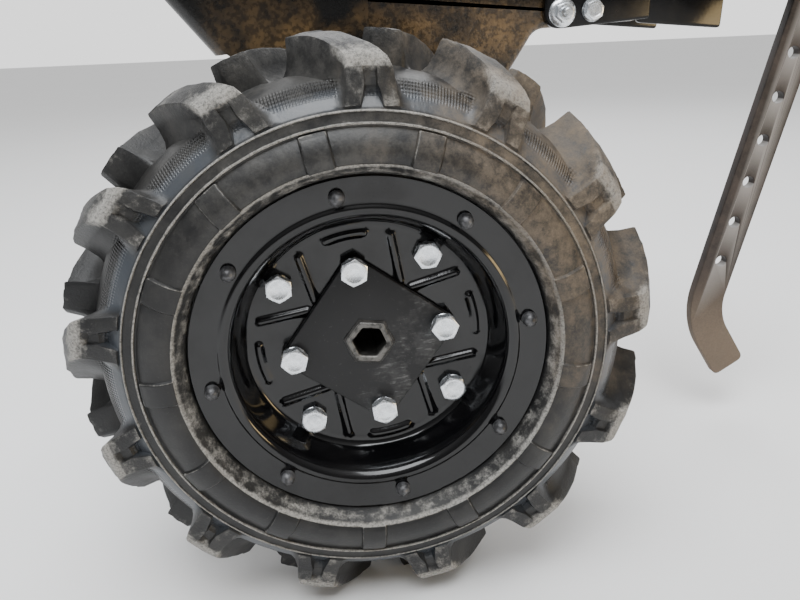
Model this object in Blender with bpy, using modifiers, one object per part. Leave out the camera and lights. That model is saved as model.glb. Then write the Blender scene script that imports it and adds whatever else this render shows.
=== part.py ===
"""Running gear of a walk-behind power tiller: two lugged traction wheels on a hexagonal axle,
a cast gear case with its drive train, the rear frame and the drag stake in its sleeve.

Metres, +Z up, +X to the rear, the near wheel on the -Y side. The origin is on the ground under
the middle of the whole. A wheel is drawn in its own frame, with +Z pointing outboard.
"""
from math import acos, atan2, cos, hypot, pi, radians, sin, sqrt

import bmesh
import bpy
from mathutils import Matrix, Vector

# Driving dimensions -------------------------------------------------------------------------
AXLE_X = -0.15081              # axle, behind or ahead of the middle of the whole
AXLE_Z = 0.19992               # axle above the ground
TRACK = 0.366                   # between the middle planes of the two tyres
GAP = 0.0003                    # left between pieces that touch

# Tyre 4.00-8 with a bar tread
TYRE_LUGS = 13                  # on each side
WHEEL_STEPS = 2 * TYRE_LUGS     # sides of every ring in the wheel
LUG_PITCH = 2 * pi / TYRE_LUGS
LUG_PHASE = radians(31.8)       # first outboard lug, at the shoulder
LUG_SWEEP = radians(11.5)       # how far a lug leans from the shoulder to the crown
CROWN_R = 0.200                 # lug tips
LUG_SECTIONS = [(0.0430, 0.152, 0.1600, 0.0150, 0.0125),    # across, low and high radius,
                (0.0385, 0.156, 0.1895, 0.0150, 0.0105),    # low and high half width
                (0.0180, 0.168, 0.1980, 0.0135, 0.0095),
                (-0.0040, 0.170, CROWN_R, 0.0120, 0.0085)]
BEAD_R = 0.1022
FLANGE_BACK = 0.0337            # outer faces of the beads, against the rim flanges
TYRE_OUTSIDE = [(0.0304, BEAD_R), (0.0304, 0.1106), (FLANGE_BACK, 0.1106), (FLANGE_BACK, 0.1176),
                (0.0400, 0.1200), (0.0505, 0.1290), (0.0524, 0.1360), (0.0475, 0.1465),
                (0.0440, 0.1560), (0.0330, 0.1680), (0.0150, 0.1765)]
TYRE_INSIDE = [(0.0220, 0.1635), (0.0435, 0.1400), (0.0270, 0.1160), (0.0230, BEAD_R)]
TUBE_OUTSIDE = [(0.0170, 0.1040), (0.0395, 0.1350), (0.0205, 0.1605)]
TUBE_INSIDE = [(0.0145, 0.1072), (0.0360, 0.1350), (0.0185, 0.1573)]

# Rim: a dish with the outer flange, bolted into a drum with the inner flange
SHEET = 0.003
FLANGE_R = 0.117
FLANGE_FACE = 0.037             # outer face of the flange, from the tyre's middle plane
LIP_R = 0.0955
DISC_FACE = 0.009
DISC_R = 0.0822
BORE_R = 0.0185                 # hole in the disc for the hub tube
DISH_BACK_IN = (0.0, 0.0025, 0.0015, 0.0022, 0.0012, 0.0, 0.0, 0.0)     # back of the wall
DRUM_R = 0.1016
DRUM_LAND_R = 0.110             # the drum's outer end, which the flange studs bear on
WEB_R = 0.064

# Hub and fasteners
HUB_ACROSS = 0.028              # hexagonal hub tube, across its flats
HUB_BORE_ACROSS = 0.0206
HUB_OUT = 0.0175                # outer end of the hub tube
HUB_IN = 0.117                  # its inner end, inboard of the tyre's middle plane
HEX_PHASE = radians(-8.0)
PLATE_SIDE = 0.089
PLATE_THICK = 0.006
PLATE_CLIP = 0.004              # taken off its corners
PLATE_PHASE = radians(8.5)      # a corner of the square plate
HUB_BOLT_R = 0.0519
RIM_BOLT_R = 0.0710
RIM_BOLT_PHASE = radians(53.9)
STUD_R = 0.1056
STUD_COUNT = 8
STUD_PHASE = radians(8.8)
STUD_TIP = 0.0450
STUD_DOME = (0.0432, 0.0040)
STUD_HEAD_R = 0.0050
STUD_SHANK_R = 0.0030
STUD_HOLE_R = 0.0035
M10_R = 0.005
M10_HOLE_R = 0.0055
M10_PAST_NUT = 0.004
M10_ACROSS = 0.0165
M10_HEAD = 0.0064
WASHER_R = 0.0085
WASHER_THICK = 0.0012
DRIVE_PIN_R = 0.004
DRIVE_PIN_W = -0.060            # across the hub tube, inboard of the tyre
DRIVE_PIN_SPAN = (-0.022, 0.020)
DRIVE_PIN_HEAD_R = 0.0065
DRIVE_PIN_HEAD = (0.0185, 0.0225)
VALVE_W = -0.018
VALVE_PHASE = radians(-60.0)
VALVE_R = 0.004
VALVE_LOW = 0.078
TUBE_HOLE_R = 0.002

# Axle, gears and case
AXLE_ACROSS = 0.020
AXLE_END = 0.150
JOURNAL_R = 0.0125
JOURNAL_END = 0.064
MODULE = 0.003
AXLE_TEETH = 30
IDLER_TEETH = 26
INPUT_TEETH = 14
GEAR_WIDTH = 0.016
IDLER_LEAN = radians(84.0)      # direction from the axle to the idler
IDLER_PIN_R = 0.008
INPUT_R = 0.0085
INPUT_END = 0.100
KEY_HALF = 0.0025
KEY_HIGH = 0.0022
CASE_HALF = 0.060               # outer face of each case half
CASE_WALL = 0.006
CASE_BOSS_R = 0.058
CASE_TOP = 0.235                # above the axle
CASE_LEFT = (-0.088, 0.190)     # corners of the outline, x and z from the axle
CASE_RIGHT = (0.1337, 0.1634)
CASE_FRONT = -0.118
CASE_SHELF = (0.2364, 0.1970)
CASE_FILLET = (0.1613, 0.1798)
CASE_FILLET_R = 0.0142
CASE_FILLET_SPAN = (radians(152), radians(92))
BOSS_WALL = 0.006               # round the small bearings and the idler's pin
BEARING_R = 0.026
BEARING_WIDTH = 0.012
SEAL_R = 0.021
SMALL_BEARING_R = 0.0175
SMALL_SEAL_R = 0.014
SEAL_WIDTH = 0.006
SEAL_AT = 0.0035                # below the case's outer face

# Frame behind and over the case, x and z from the axle
GUARD_SHEET = 0.003
GUARD_HALF = 0.0636
GUARD_REAR = 0.022
GUARD_LOW = 0.118
GUARD_TOE = (-0.0959, 0.1851)
GUARD_TOP = (-0.1353, 0.235)
DECK_THICK = 0.006
DECK_X = (-0.145, 0.310)
DECK_HALF = 0.078
DECK_HOLES_X = (-0.021, 0.141)
DECK_HOLES_Y = (-0.038, 0.038)
DECK_HOLE_R = 0.0045
CHEEK_THICK = 0.0075
CHEEK_X = (0.158, 0.243)
CHEEK_LOW = 0.198
CHEEK_CORNER = (0.172, 0.207)
CHEEK_CORNER_R = 0.014
CHEEK_STUD = (0.1717, 0.205)
CHEEK_BOLT = (0.1958, 0.206)
FASTENER_R = 0.004
FASTENER_HOLE_R = 0.0046
FASTENER_ACROSS = 0.013
STUD_NUT = (0.009, 0.0108, 0.0165)      # height, flange radius, reach of the stud
FLANGE_BOLT = (0.0068, 0.0082, 0.004)
FRAME_THICK = 0.006
FRAME_OUTLINE = [(0.2368, 0.1955), (0.307, 0.1888), (0.309, CASE_TOP), (0.2368, CASE_TOP)]
DRAWBAR_X = (0.2368, 0.398)
DRAWBAR_Z = (0.2125, 0.2347)
DRAWBAR_RAKE = 0.0053            # how far its end leans out at the top
DRAWBAR_HALF = 0.025

# Drag stake in its sleeve; lengths along the stake run up from the sleeve's middle
STAKE_AT = (0.4323, 0.250)
STAKE_LEAN = radians(13.5)
STAKE_WIDTH = 0.034
STAKE_THICK = 0.010
STAKE_TOP = 0.092
STAKE_HOLE_TOP = 0.072
STAKE_HOLES = 10
STAKE_PITCH = 0.040
STAKE_HOLE_R = 0.0055
STAKE_BEND_AT = -0.3195
STAKE_BEND = radians(45.2)
STAKE_BEND_R = 0.050            # on the inside of the bend
STAKE_FOOT = 0.042
STAKE_CORNER = 0.005
SLEEVE_SPAN = (-0.034, 0.036)
SLEEVE_WALL = 0.005
CLAMP_Z = 0.012
CLAMP_R = 0.006
CLAMP_BOSS_R = 0.010
CLAMP_BOSS_END = 0.034
CLAMP_HEAD_R = 0.010
CLAMP_HEAD = (0.050, 0.066)
TOMMY_R = 0.0035
TOMMY_HALF = 0.040
TOMMY_KNOB = [(TOMMY_HALF, 0.0), (TOMMY_HALF - 0.0006, 0.0032), (TOMMY_HALF - 0.0035, 0.0050),
              (TOMMY_HALF - 0.0065, TOMMY_R)]
STOP_PIN_R = 0.0045
STOP_PIN_HALF = 0.018
STOP_HEAD_R = 0.0075
STOP_HEAD = (-0.0225, -0.0175)
PAST = 0.01                     # how far a cutter runs past a face

# Finishes: colour, roughness, metallic
FINISHES = {
    "tyre rubber": ((0.045, 0.043, 0.040), 0.70, 0.0),
    "tube rubber": ((0.020, 0.020, 0.020), 0.60, 0.0),
    "gloss black": ((0.010, 0.010, 0.011), 0.22, 0.0),
    "cast black": ((0.014, 0.014, 0.015), 0.40, 0.0),
    "scuffed black": ((0.035, 0.034, 0.034), 0.48, 0.2),
    "stud grey": ((0.060, 0.060, 0.062), 0.45, 0.3),
    "zinc": ((0.62, 0.64, 0.66), 0.30, 0.9),
    "bare steel": ((0.32, 0.31, 0.30), 0.38, 0.9),
    "gear steel": ((0.45, 0.45, 0.46), 0.30, 0.9),
    "dusty steel": ((0.150, 0.128, 0.110), 0.60, 0.4),
    "seal rubber": ((0.025, 0.020, 0.020), 0.60, 0.0),
    "brass": ((0.60, 0.45, 0.18), 0.35, 0.9),
}

ACROSS = Matrix.Rotation(pi / 2, 4, "X")        # takes (x, y, z) to (x, -z, y)
ALONG = Matrix.Rotation(pi / 2, 4, "Y")         # takes (x, y, z) to (z, y, -x)

for old in list(bpy.data.objects):
    bpy.data.objects.remove(old, do_unlink=True)
PARTS = bpy.data.collections.new("tiller_running_gear")
CUTTERS = bpy.data.collections.new("cutters")
bpy.context.scene.collection.children.link(PARTS)
bpy.context.scene.collection.children.link(CUTTERS)


def finish(name):
    """The Principled material of one of the FINISHES, made once."""
    made = bpy.data.materials.get(name)
    if made is None:
        colour, roughness, metallic = FINISHES[name]
        made = bpy.data.materials.new(name)
        made.use_nodes = True
        shader = made.node_tree.nodes["Principled BSDF"]
        shader.inputs["Base Color"].default_value = (*colour, 1.0)
        shader.inputs["Roughness"].default_value = roughness
        shader.inputs["Metallic"].default_value = metallic
    return made


def empty(name, place, turn=(0.0, 0.0, 0.0), parent=None):
    """An empty that carries pieces, at place and turned by Euler angles."""
    carrier = bpy.data.objects.new(name, None)
    PARTS.objects.link(carrier)
    carrier.location = place
    carrier.rotation_euler = turn
    carrier.parent = parent
    return carrier


def add(name, mesh, look, parent=None, place=(0.0, 0.0, 0.0), turn=(0.0, 0.0, 0.0)):
    """A finished piece made of mesh."""
    piece = bpy.data.objects.new(name, mesh)
    PARTS.objects.link(piece)
    piece.parent = parent
    piece.location = place
    piece.rotation_euler = turn
    if not mesh.materials:
        mesh.materials.append(finish(look))
    return piece


def mesh_of(scratch):
    """The evaluated mesh of a scratch object with its place applied; the object is removed."""
    bpy.context.view_layer.update()
    evaluated = scratch.evaluated_get(bpy.context.evaluated_depsgraph_get())
    mesh = bpy.data.meshes.new_from_object(evaluated)
    mesh.transform(scratch.matrix_world)
    bpy.data.objects.remove(scratch, do_unlink=True)
    return mesh


def scratch_object(mesh):
    """A temporary object in the cutters' collection."""
    scratch = bpy.data.objects.new("scratch", mesh)
    CUTTERS.objects.link(scratch)
    scratch.hide_render = True
    scratch.display_type = "WIRE"
    return scratch


def boolean(mesh, others, operation):
    """mesh joined with, or cut by, each of the other meshes."""
    body = scratch_object(mesh)
    tools = [scratch_object(other) for other in others]
    for tool in tools:
        step = body.modifiers.new("boolean", "BOOLEAN")
        step.operation = operation
        step.solver = "EXACT"
        step.object = tool
    result = mesh_of(body)
    for tool in tools:
        bpy.data.objects.remove(tool, do_unlink=True)
    return result


def union(mesh, *others):
    """mesh joined with the others."""
    return boolean(mesh, others, "UNION")


def cut(mesh, *others):
    """mesh less the others."""
    return boolean(mesh, others, "DIFFERENCE")


def turned(profile, steps, ring=True):
    """A profile of (across, radius) points turned about Z, across running along Z.

    A ring's profile is a closed loop; any other runs from the axis back to the axis."""
    area = sum(a[1] * b[0] - b[1] * a[0] for a, b in zip(profile, profile[1:] + profile[:1]))
    points = profile if area < 0 else profile[::-1]
    mesh = bpy.data.meshes.new("turned")
    edges = [(i, i + 1) for i in range(len(points) - 1)] + [(len(points) - 1, 0)] * ring
    mesh.from_pydata([(radius, 0.0, across) for across, radius in points], edges, [])
    scratch = scratch_object(mesh)
    screw = scratch.modifiers.new("screw", "SCREW")
    screw.axis = "Z"
    screw.steps = screw.render_steps = steps
    screw.use_merge_vertices = True
    screw.merge_threshold = 0.00001
    return mesh_of(scratch)


def round_bar(radius, low, high, segments=16, place=(0.0, 0.0), phase=0.0):
    """A cylinder along Z from low to high at an (x, y) place; a corner points along phase."""
    form = bmesh.new()
    bmesh.ops.create_cone(form, cap_ends=True, segments=segments, radius1=radius, radius2=radius,
                          depth=high - low)
    form.verts.ensure_lookup_table()
    turn = phase - atan2(form.verts[0].co.y, form.verts[0].co.x)
    middle = (place[0], place[1], (low + high) / 2)
    bmesh.ops.transform(form, verts=form.verts,
                        matrix=Matrix.Translation(middle) @ Matrix.Rotation(turn, 4, "Z"))
    mesh = bpy.data.meshes.new("bar")
    form.to_mesh(mesh)
    form.free()
    return mesh


def y_bar(radius, low, high, segments=16, place=(0.0, 0.0)):
    """A cylinder along Y from low to high, at an (x, z) place."""
    mesh = round_bar(radius, -high, -low, segments, place)
    mesh.transform(ACROSS)
    return mesh


def x_bar(radius, low, high, segments=16, height=0.0):
    """A cylinder along X from low to high, at a height."""
    mesh = round_bar(radius, low, high, segments, (-height, 0.0))
    mesh.transform(ALONG)
    return mesh


def hex_bar(across, low, high, phase=0.0, place=(0.0, 0.0)):
    """A hexagonal bar along Z; a corner points along phase."""
    return round_bar(across / sqrt(3), low, high, 6, place, phase)


def box(low, high):
    """A box between two corners."""
    form = bmesh.new()
    bmesh.ops.create_cube(form, size=1.0)
    for point in form.verts:
        point.co = [(a + b) / 2 + c * (b - a) for a, b, c in zip(low, high, point.co)]
    mesh = bpy.data.meshes.new("box")
    form.to_mesh(mesh)
    form.free()
    return mesh


def slab(outline, low, high, holes=()):
    """An outline of (x, y) points, extruded from low to high in z, with round through holes.

    A hole is (centre, radius, sides)."""
    curve = bpy.data.curves.new("outline", "CURVE")
    curve.dimensions = "2D"
    curve.fill_mode = "BOTH"
    curve.extrude = (high - low) / 2
    rings = [outline] + [arc(centre, radius, 0.0, 2 * pi, sides)[:-1]
                         for centre, radius, sides in holes]
    for ring in rings:
        spline = curve.splines.new("POLY")
        spline.points.add(len(ring) - 1)
        for point, (x, y) in zip(spline.points, ring):
            point.co = (x, y, 0.0, 1.0)
        spline.use_cyclic_u = True
    scratch = scratch_object(curve)
    scratch.location = (0.0, 0.0, (low + high) / 2)
    mesh = mesh_of(scratch)
    form = bmesh.new()
    form.from_mesh(mesh)
    bmesh.ops.remove_doubles(form, verts=form.verts, dist=0.00001)
    bmesh.ops.recalc_face_normals(form, faces=form.faces)
    form.to_mesh(mesh)
    form.free()
    return mesh


def plate(outline, low, high, holes=()):
    """The same with an outline of (x, z) points, extruded from low to high in y."""
    mesh = slab(outline, -high, -low, holes)
    mesh.transform(ACROSS)
    return mesh


def arc(centre, radius, start, end, count):
    """Points on an arc, both ends included."""
    return [(centre[0] + radius * cos(start + (end - start) * i / count),
             centre[1] + radius * sin(start + (end - start) * i / count)) for i in range(count + 1)]


def inset(outline, distance):
    """A counter-clockwise outline drawn in by distance, edge by edge."""
    result = []
    for i, corner in enumerate(outline):
        before = Vector(corner) - Vector(outline[i - 1])
        after = Vector(outline[(i + 1) % len(outline)]) - Vector(corner)
        left = Vector((-before.y, before.x)).normalized()
        right = Vector((-after.y, after.x)).normalized()
        step = (left + right) * (distance / (1.0 + left.dot(right)))
        result.append((corner[0] + step.x, corner[1] + step.y))
    return result


def ring_places(radius, count, phase):
    """Places spaced evenly on a circle, the first at phase."""
    return arc((0.0, 0.0), radius, phase, phase + 2 * pi, count)[:-1]


def mirrored(points):
    """A half profile and its reflection across the wheel's middle plane."""
    return points + [(-across, radius) for across, radius in reversed(points)]


def ring(width, inner, outer, middle):
    """A plain ring's profile."""
    low, high = middle - width / 2, middle + width / 2
    return [(high, inner), (high, outer), (low, outer), (low, inner)]


def joined(meshes):
    """Separate meshes as one, for a single Boolean."""
    form = bmesh.new()
    for mesh in meshes:
        form.from_mesh(mesh)
    result = bpy.data.meshes.new("joined")
    form.to_mesh(result)
    form.free()
    return result


def placed(mesh, matrix):
    """The mesh itself, moved by a matrix."""
    mesh.transform(matrix)
    return mesh


def moved(mesh, place):
    """A copy of mesh at an (x, y) place."""
    return placed(mesh.copy(), Matrix.Translation((place[0], place[1], 0.0)))


# Wheel ---------------------------------------------------------------------------------------
def lug(side, phase):
    """One tread lug: its sections, from the shoulder over the crown, joined in a loft."""
    form = bmesh.new()
    rings = []
    for across, low, high, wide, narrow in LUG_SECTIONS:
        middle = phase + LUG_SWEEP * (1.0 - across / LUG_SECTIONS[0][0])
        corners = [(low, -wide), (high, -narrow), (high, narrow), (low, wide)]
        rings.append([form.verts.new((r * cos(middle + t / r), r * sin(middle + t / r),
                                      side * across)) for r, t in corners])
    for one, other in zip(rings, rings[1:]):
        for i in range(4):
            form.faces.new((one[i], one[(i + 1) % 4], other[(i + 1) % 4], other[i]))
    form.faces.new(rings[0])
    form.faces.new(rings[-1][::-1])
    bmesh.ops.recalc_face_normals(form, faces=form.faces)
    mesh = bpy.data.meshes.new("lug")
    form.to_mesh(mesh)
    form.free()
    return mesh


def tyre_mesh():
    """The casing, open between its beads, with a row of lugs on each side of the crown."""
    inside = [(-across, radius) for across, radius in reversed(TYRE_INSIDE)] + TYRE_INSIDE
    casing = turned(mirrored(TYRE_OUTSIDE) + inside, WHEEL_STEPS)
    lugs = [lug(side, LUG_PHASE + LUG_PITCH * (i + (0.5 if side < 0 else 0.0)))
            for side in (1, -1) for i in range(TYRE_LUGS)]
    return union(casing, joined(lugs))


def radial_bar(radius, low, high, hand):
    """A bar along a radius at the valve's place."""
    mesh = round_bar(radius, low, high, 10)
    mesh.transform(Matrix.Translation((0.0, 0.0, VALVE_W)) @
                   Matrix.Rotation(hand * VALVE_PHASE, 4, "Z") @ ALONG)
    return mesh


def inner_tube_mesh(hand):
    """A hollow ring; the valve's hole lets its air space out."""
    outside = turned(mirrored(TUBE_OUTSIDE), WHEEL_STEPS)
    inside = turned(mirrored(TUBE_INSIDE), WHEEL_STEPS)
    return cut(outside, inside, radial_bar(TUBE_HOLE_R, DRUM_R, DRUM_R + 0.010, hand))


def dish_profile():
    """The flange, the sloping wall and the disc, as one pressed sheet."""
    outer = [(FLANGE_FACE, FLANGE_R), (FLANGE_FACE, LIP_R + 0.005),
             (FLANGE_FACE - 0.0012, LIP_R + 0.0015), (FLANGE_FACE - 0.0045, LIP_R - 0.001),
             (DISC_FACE + 0.0045, DISC_R + 0.005), (DISC_FACE + 0.0010, DISC_R + 0.0015),
             (DISC_FACE, DISC_R - 0.002), (DISC_FACE, BORE_R)]
    inner = [(across - SHEET, radius - shift)
             for (across, radius), shift in zip(outer, DISH_BACK_IN)]
    return outer + inner[::-1]


def drum_profile():
    """The bead seats, the inner flange, the land for the studs, and the web on the disc."""
    web_out = DISC_FACE - SHEET - GAP
    web_in = web_out - SHEET
    back = -FLANGE_BACK - GAP
    land = FLANGE_BACK
    inside = DRUM_R - SHEET
    return [(back, FLANGE_R), (back, DRUM_R), (land - SHEET, DRUM_R), (land - SHEET, DRUM_LAND_R),
            (land, DRUM_LAND_R), (land, inside), (web_out, inside), (web_out, WEB_R),
            (web_in, WEB_R), (web_in, inside), (back - SHEET, inside), (back - SHEET, FLANGE_R)]


def bolt_mesh(seat, back):
    """A hexagon bolt: washer and head above seat, shank through to a nut behind back."""
    under = seat + GAP
    head = under + WASHER_THICK
    nut = back - GAP
    shank = round_bar(M10_R, nut - M10_HEAD - M10_PAST_NUT, head + 0.001, 8)
    washer = round_bar(WASHER_R, under, head, 12)
    cap = hex_bar(M10_ACROSS, head - 0.0002, head + M10_HEAD, pi / 6)
    nut_body = hex_bar(M10_ACROSS, nut - M10_HEAD, nut)
    return union(shank, washer, cap, nut_body)


def stud_mesh():
    """A domed stud through the flange, down to the drum's land."""
    under = FLANGE_FACE + GAP
    tip = FLANGE_BACK + GAP
    return turned([(STUD_TIP, 0.0), STUD_DOME, (under, STUD_HEAD_R), (under, STUD_SHANK_R),
                   (tip, STUD_SHANK_R), (tip, 0.0)], 8, ring=False)


def holes(places, radius, low, high, segments=8):
    """Cutters for round holes at places."""
    return joined([round_bar(radius, low, high, segments, place) for place in places])


def wheel(side, frame, hand):
    """All of one wheel but its tyre. On the far wheel, the bolts are made in one with the pieces
    that they hold, and the small flange studs are left out."""
    near = hand > 0
    hub_places = ring_places(HUB_BOLT_R, 4, hand * PLATE_PHASE)
    rim_places = ring_places(RIM_BOLT_R, 4, hand * RIM_BOLT_PHASE)
    stud_places = ring_places(STUD_R, STUD_COUNT, hand * STUD_PHASE)
    disc_back = DISC_FACE - SHEET
    plate_face = DISC_FACE + GAP + PLATE_THICK

    tube = inner_tube_mesh(hand)
    add(f"inner_tube_{side}", tube, "tube rubber", frame)
    add(f"valve_stem_{side}", radial_bar(VALVE_R, VALVE_LOW, DRUM_R + 0.001, hand), "brass", frame)

    drum = turned(drum_profile(), WHEEL_STEPS)
    web_back = disc_back - GAP - SHEET
    drum = cut(drum, holes(rim_places, M10_HOLE_R, web_back - 0.002, disc_back + 0.002),
               radial_bar(VALVE_R + 0.0006, DRUM_R - 2 * SHEET, DRUM_R + SHEET, hand))
    add(f"rim_drum_{side}", drum, "gloss black", frame)

    rim_bolt = bolt_mesh(DISC_FACE, web_back)
    hub_bolt = bolt_mesh(plate_face, disc_back)
    dish = turned(dish_profile(), WHEEL_STEPS)
    dish = cut(dish, holes(hub_places, M10_HOLE_R, disc_back - 0.002, DISC_FACE + 0.002))
    if near:
        dish = cut(dish, holes(rim_places, M10_HOLE_R, disc_back - 0.002, DISC_FACE + 0.002),
                   holes(stud_places, STUD_HOLE_R, FLANGE_FACE - 2 * SHEET, FLANGE_FACE + SHEET))
    else:
        rim_bolt.transform(Matrix.Translation((0.0, 0.0, -2 * GAP)))
        dish = union(dish, joined([moved(rim_bolt, place) for place in rim_places]))
    add(f"rim_dish_{side}", dish, "gloss black", frame)

    reach = PLATE_SIDE / sqrt(2)
    clip = PLATE_CLIP / reach
    square = []
    for x, y in ring_places(reach, 4, hand * PLATE_PHASE):
        for turn in (-1, 1):
            square.append((x - clip * x - turn * clip * y, y - clip * y + turn * clip * x))
    hub_plate = slab(square, DISC_FACE + GAP, plate_face)
    hexagon = hex_bar(HUB_ACROSS + 4 * GAP, 0.0, 2 * plate_face, hand * HEX_PHASE)
    if near:
        hub_plate = cut(hub_plate, hexagon,
                        holes(hub_places, M10_HOLE_R, 0.0, 2 * plate_face))
    else:
        hub_bolt.transform(Matrix.Translation((0.0, 0.0, -2 * GAP)))
        hub_plate = union(cut(hub_plate, hexagon),
                          joined([moved(hub_bolt, place) for place in hub_places]))
    add(f"hub_plate_{side}", hub_plate, "scuffed black", frame)

    pin_turn = Matrix.Translation((0.0, 0.0, DRIVE_PIN_W)) @ Matrix.Rotation(
        hand * (HEX_PHASE + pi / 2), 4, "Z") @ ALONG
    hub_tube = cut(hex_bar(HUB_ACROSS, -HUB_IN, HUB_OUT, hand * HEX_PHASE),
                   hex_bar(HUB_BORE_ACROSS, -HUB_IN - PAST, HUB_OUT + PAST, hand * HEX_PHASE),
                   placed(round_bar(DRIVE_PIN_R + GAP, -HUB_ACROSS, HUB_ACROSS, 12), pin_turn))
    add(f"hub_tube_{side}", hub_tube, "bare steel", frame)
    pin = union(round_bar(DRIVE_PIN_R, *DRIVE_PIN_SPAN, 12),
                round_bar(DRIVE_PIN_HEAD_R, *DRIVE_PIN_HEAD, 12))
    add(f"drive_pin_{side}", placed(pin, pin_turn), "zinc", frame)

    if near:
        for kind, mesh, places, look in (("hub_bolt", hub_bolt, hub_places, "zinc"),
                                         ("rim_bolt", rim_bolt, rim_places, "zinc"),
                                         ("flange_stud", stud_mesh(), stud_places, "stud grey")):
            for number, (x, y) in enumerate(places, 1):
                add(f"{kind}_{side}_{number}", mesh, look, frame, (x, y, 0.0))


# Drive train -----------------------------------------------------------------------------------
def gear_outline(teeth, phase):
    """Trapezoid teeth on the pitch circle, thinned so that a pair turns freely."""
    pitch_r = MODULE * teeth / 2
    root, tip = pitch_r - 1.25 * MODULE, pitch_r + 0.9 * MODULE
    wide, narrow = 0.90 * MODULE, 0.26 * MODULE
    points = []
    for i in range(teeth):
        middle = phase + 2 * pi * i / teeth
        for radius, shift in ((root, -wide), (tip, -narrow), (tip, narrow), (root, wide)):
            turn = middle + shift / radius
            points.append((radius * cos(turn), radius * sin(turn)))
    return points


def drive_train(axle, idler_at, input_at):
    """The axle and its gear, the idler on its pin, and the input shaft with its pinion."""
    shaft = union(hex_bar(AXLE_ACROSS, -AXLE_END, AXLE_END, HEX_PHASE),
                  round_bar(JOURNAL_R, -JOURNAL_END, JOURNAL_END, 16))
    shaft.transform(ACROSS)
    pin_at = TRACK / 2 + DRIVE_PIN_W
    cutters = []
    for side in (-1, 1):
        hole = round_bar(DRIVE_PIN_R + GAP, -HUB_ACROSS, HUB_ACROSS, 12)
        lean = Matrix.Rotation(-HEX_PHASE, 4, "Y")
        hole.transform(Matrix.Translation((0.0, side * pin_at, 0.0)) @ lean)
        cutters.append(hole)
    add("axle_shaft", cut(shaft, *cutters), "bare steel", axle)

    bore = JOURNAL_R + 2 * GAP
    wheel_gear = plate(gear_outline(AXLE_TEETH, IDLER_LEAN), -GEAR_WIDTH / 2, GEAR_WIDTH / 2,
                       [((0.0, 0.0), bore, 16)])
    add("axle_gear", wheel_gear, "gear steel", axle)

    idler_phase = IDLER_LEAN + pi + pi / IDLER_TEETH
    idler = plate(gear_outline(IDLER_TEETH, idler_phase), -GEAR_WIDTH / 2, GEAR_WIDTH / 2,
                  [((0.0, 0.0), IDLER_PIN_R + 2 * GAP, 20)])
    add("idler_gear", idler, "gear steel", empty("idler_axis", idler_at, parent=axle))
    pin_half = CASE_HALF - CASE_WALL + 0.001
    add("idler_pin", y_bar(IDLER_PIN_R, -pin_half, pin_half, 20), "bare steel", axle, idler_at)

    pitch = 2 * pi / IDLER_TEETH
    lead = (idler_phase - pi / 2) % pitch
    pinion_phase = -pi / 2 - lead * IDLER_TEETH / INPUT_TEETH + pi / INPUT_TEETH
    pinion = plate(gear_outline(INPUT_TEETH, pinion_phase), -GEAR_WIDTH / 2, GEAR_WIDTH / 2)
    near_end = CASE_HALF - CASE_WALL - 0.0015
    key = box((-KEY_HALF, CASE_HALF + 0.012, INPUT_R - 0.002),
              (KEY_HALF, INPUT_END - 0.004, INPUT_R + KEY_HIGH))
    input_shaft = union(pinion, y_bar(INPUT_R, -near_end, INPUT_END, 16), key)
    add("input_shaft", input_shaft, "bare steel", empty("input_axis", input_at, parent=axle))


def turned_ring(name, look, parent, place, width, inner, outer, middle):
    """A ring about an axis along Y."""
    mesh = turned(ring(width, inner, outer, 0.0), 20)
    mesh.transform(ACROSS)
    add(name, mesh, look, parent, (place[0], middle, place[2]))


def case_outline():
    """Counter-clockwise from the lower boss: the V of the casting and its rear shelf."""
    angles = [atan2(z, x) + side * acos(CASE_BOSS_R / hypot(x, z))
              for (x, z), side in ((CASE_LEFT, 1), (CASE_RIGHT, -1))]
    boss = arc((0.0, 0.0), CASE_BOSS_R, angles[0], angles[1] + 2 * pi, 8)
    fillet = arc(CASE_FILLET, CASE_FILLET_R, *CASE_FILLET_SPAN, 3)
    return boss + [CASE_RIGHT] + fillet + [CASE_SHELF, (CASE_SHELF[0], CASE_TOP),
                                           (CASE_FRONT, CASE_TOP), CASE_LEFT]


def case_half(side, idler_at, input_at):
    """One cast half: wall, bosses for the axle, the idler's pin and the input shaft."""
    def across(start, end):
        return (min(side * start, side * end), max(side * start, side * end))

    def bar(radius, start, end, at=(0.0, 0.0, 0.0), segments=20):
        return y_bar(radius, *across(start, end), segments, (at[0], at[2]))

    outline = case_outline()
    inner = CASE_HALF - CASE_WALL
    body = cut(plate(outline, *across(GAP / 2, CASE_HALF)),
               plate(inset(outline, CASE_WALL), *across(-PAST, inner)))
    root = CASE_HALF - 0.002
    body = union(body, bar(BEARING_R + 0.007, inner - 0.014, root),
                 bar(SMALL_BEARING_R + BOSS_WALL, inner - 0.012, root, input_at),
                 bar(IDLER_PIN_R + BOSS_WALL, GEAR_WIDTH / 2 + 0.002, root, idler_at))
    cutters = [bar(BEARING_R + GAP, 0.0, inner - 0.001),
               bar(SEAL_R + GAP, 0.0, CASE_HALF + PAST),
               bar(SMALL_BEARING_R + GAP, 0.0, inner - 0.001, input_at),
               bar(IDLER_PIN_R + GAP, 0.0, inner + 0.0015, idler_at, 20)]
    if side > 0:
        cutters.append(bar(SMALL_SEAL_R + GAP, 0.0, CASE_HALF + PAST, input_at))
    for x, z in (CHEEK_STUD, CHEEK_BOLT):
        cutters.append(bar(FASTENER_R + 0.0005, inner - PAST, CASE_HALF + PAST, (x, 0.0, z), 10))
    return cut(body, *cutters)


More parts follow.
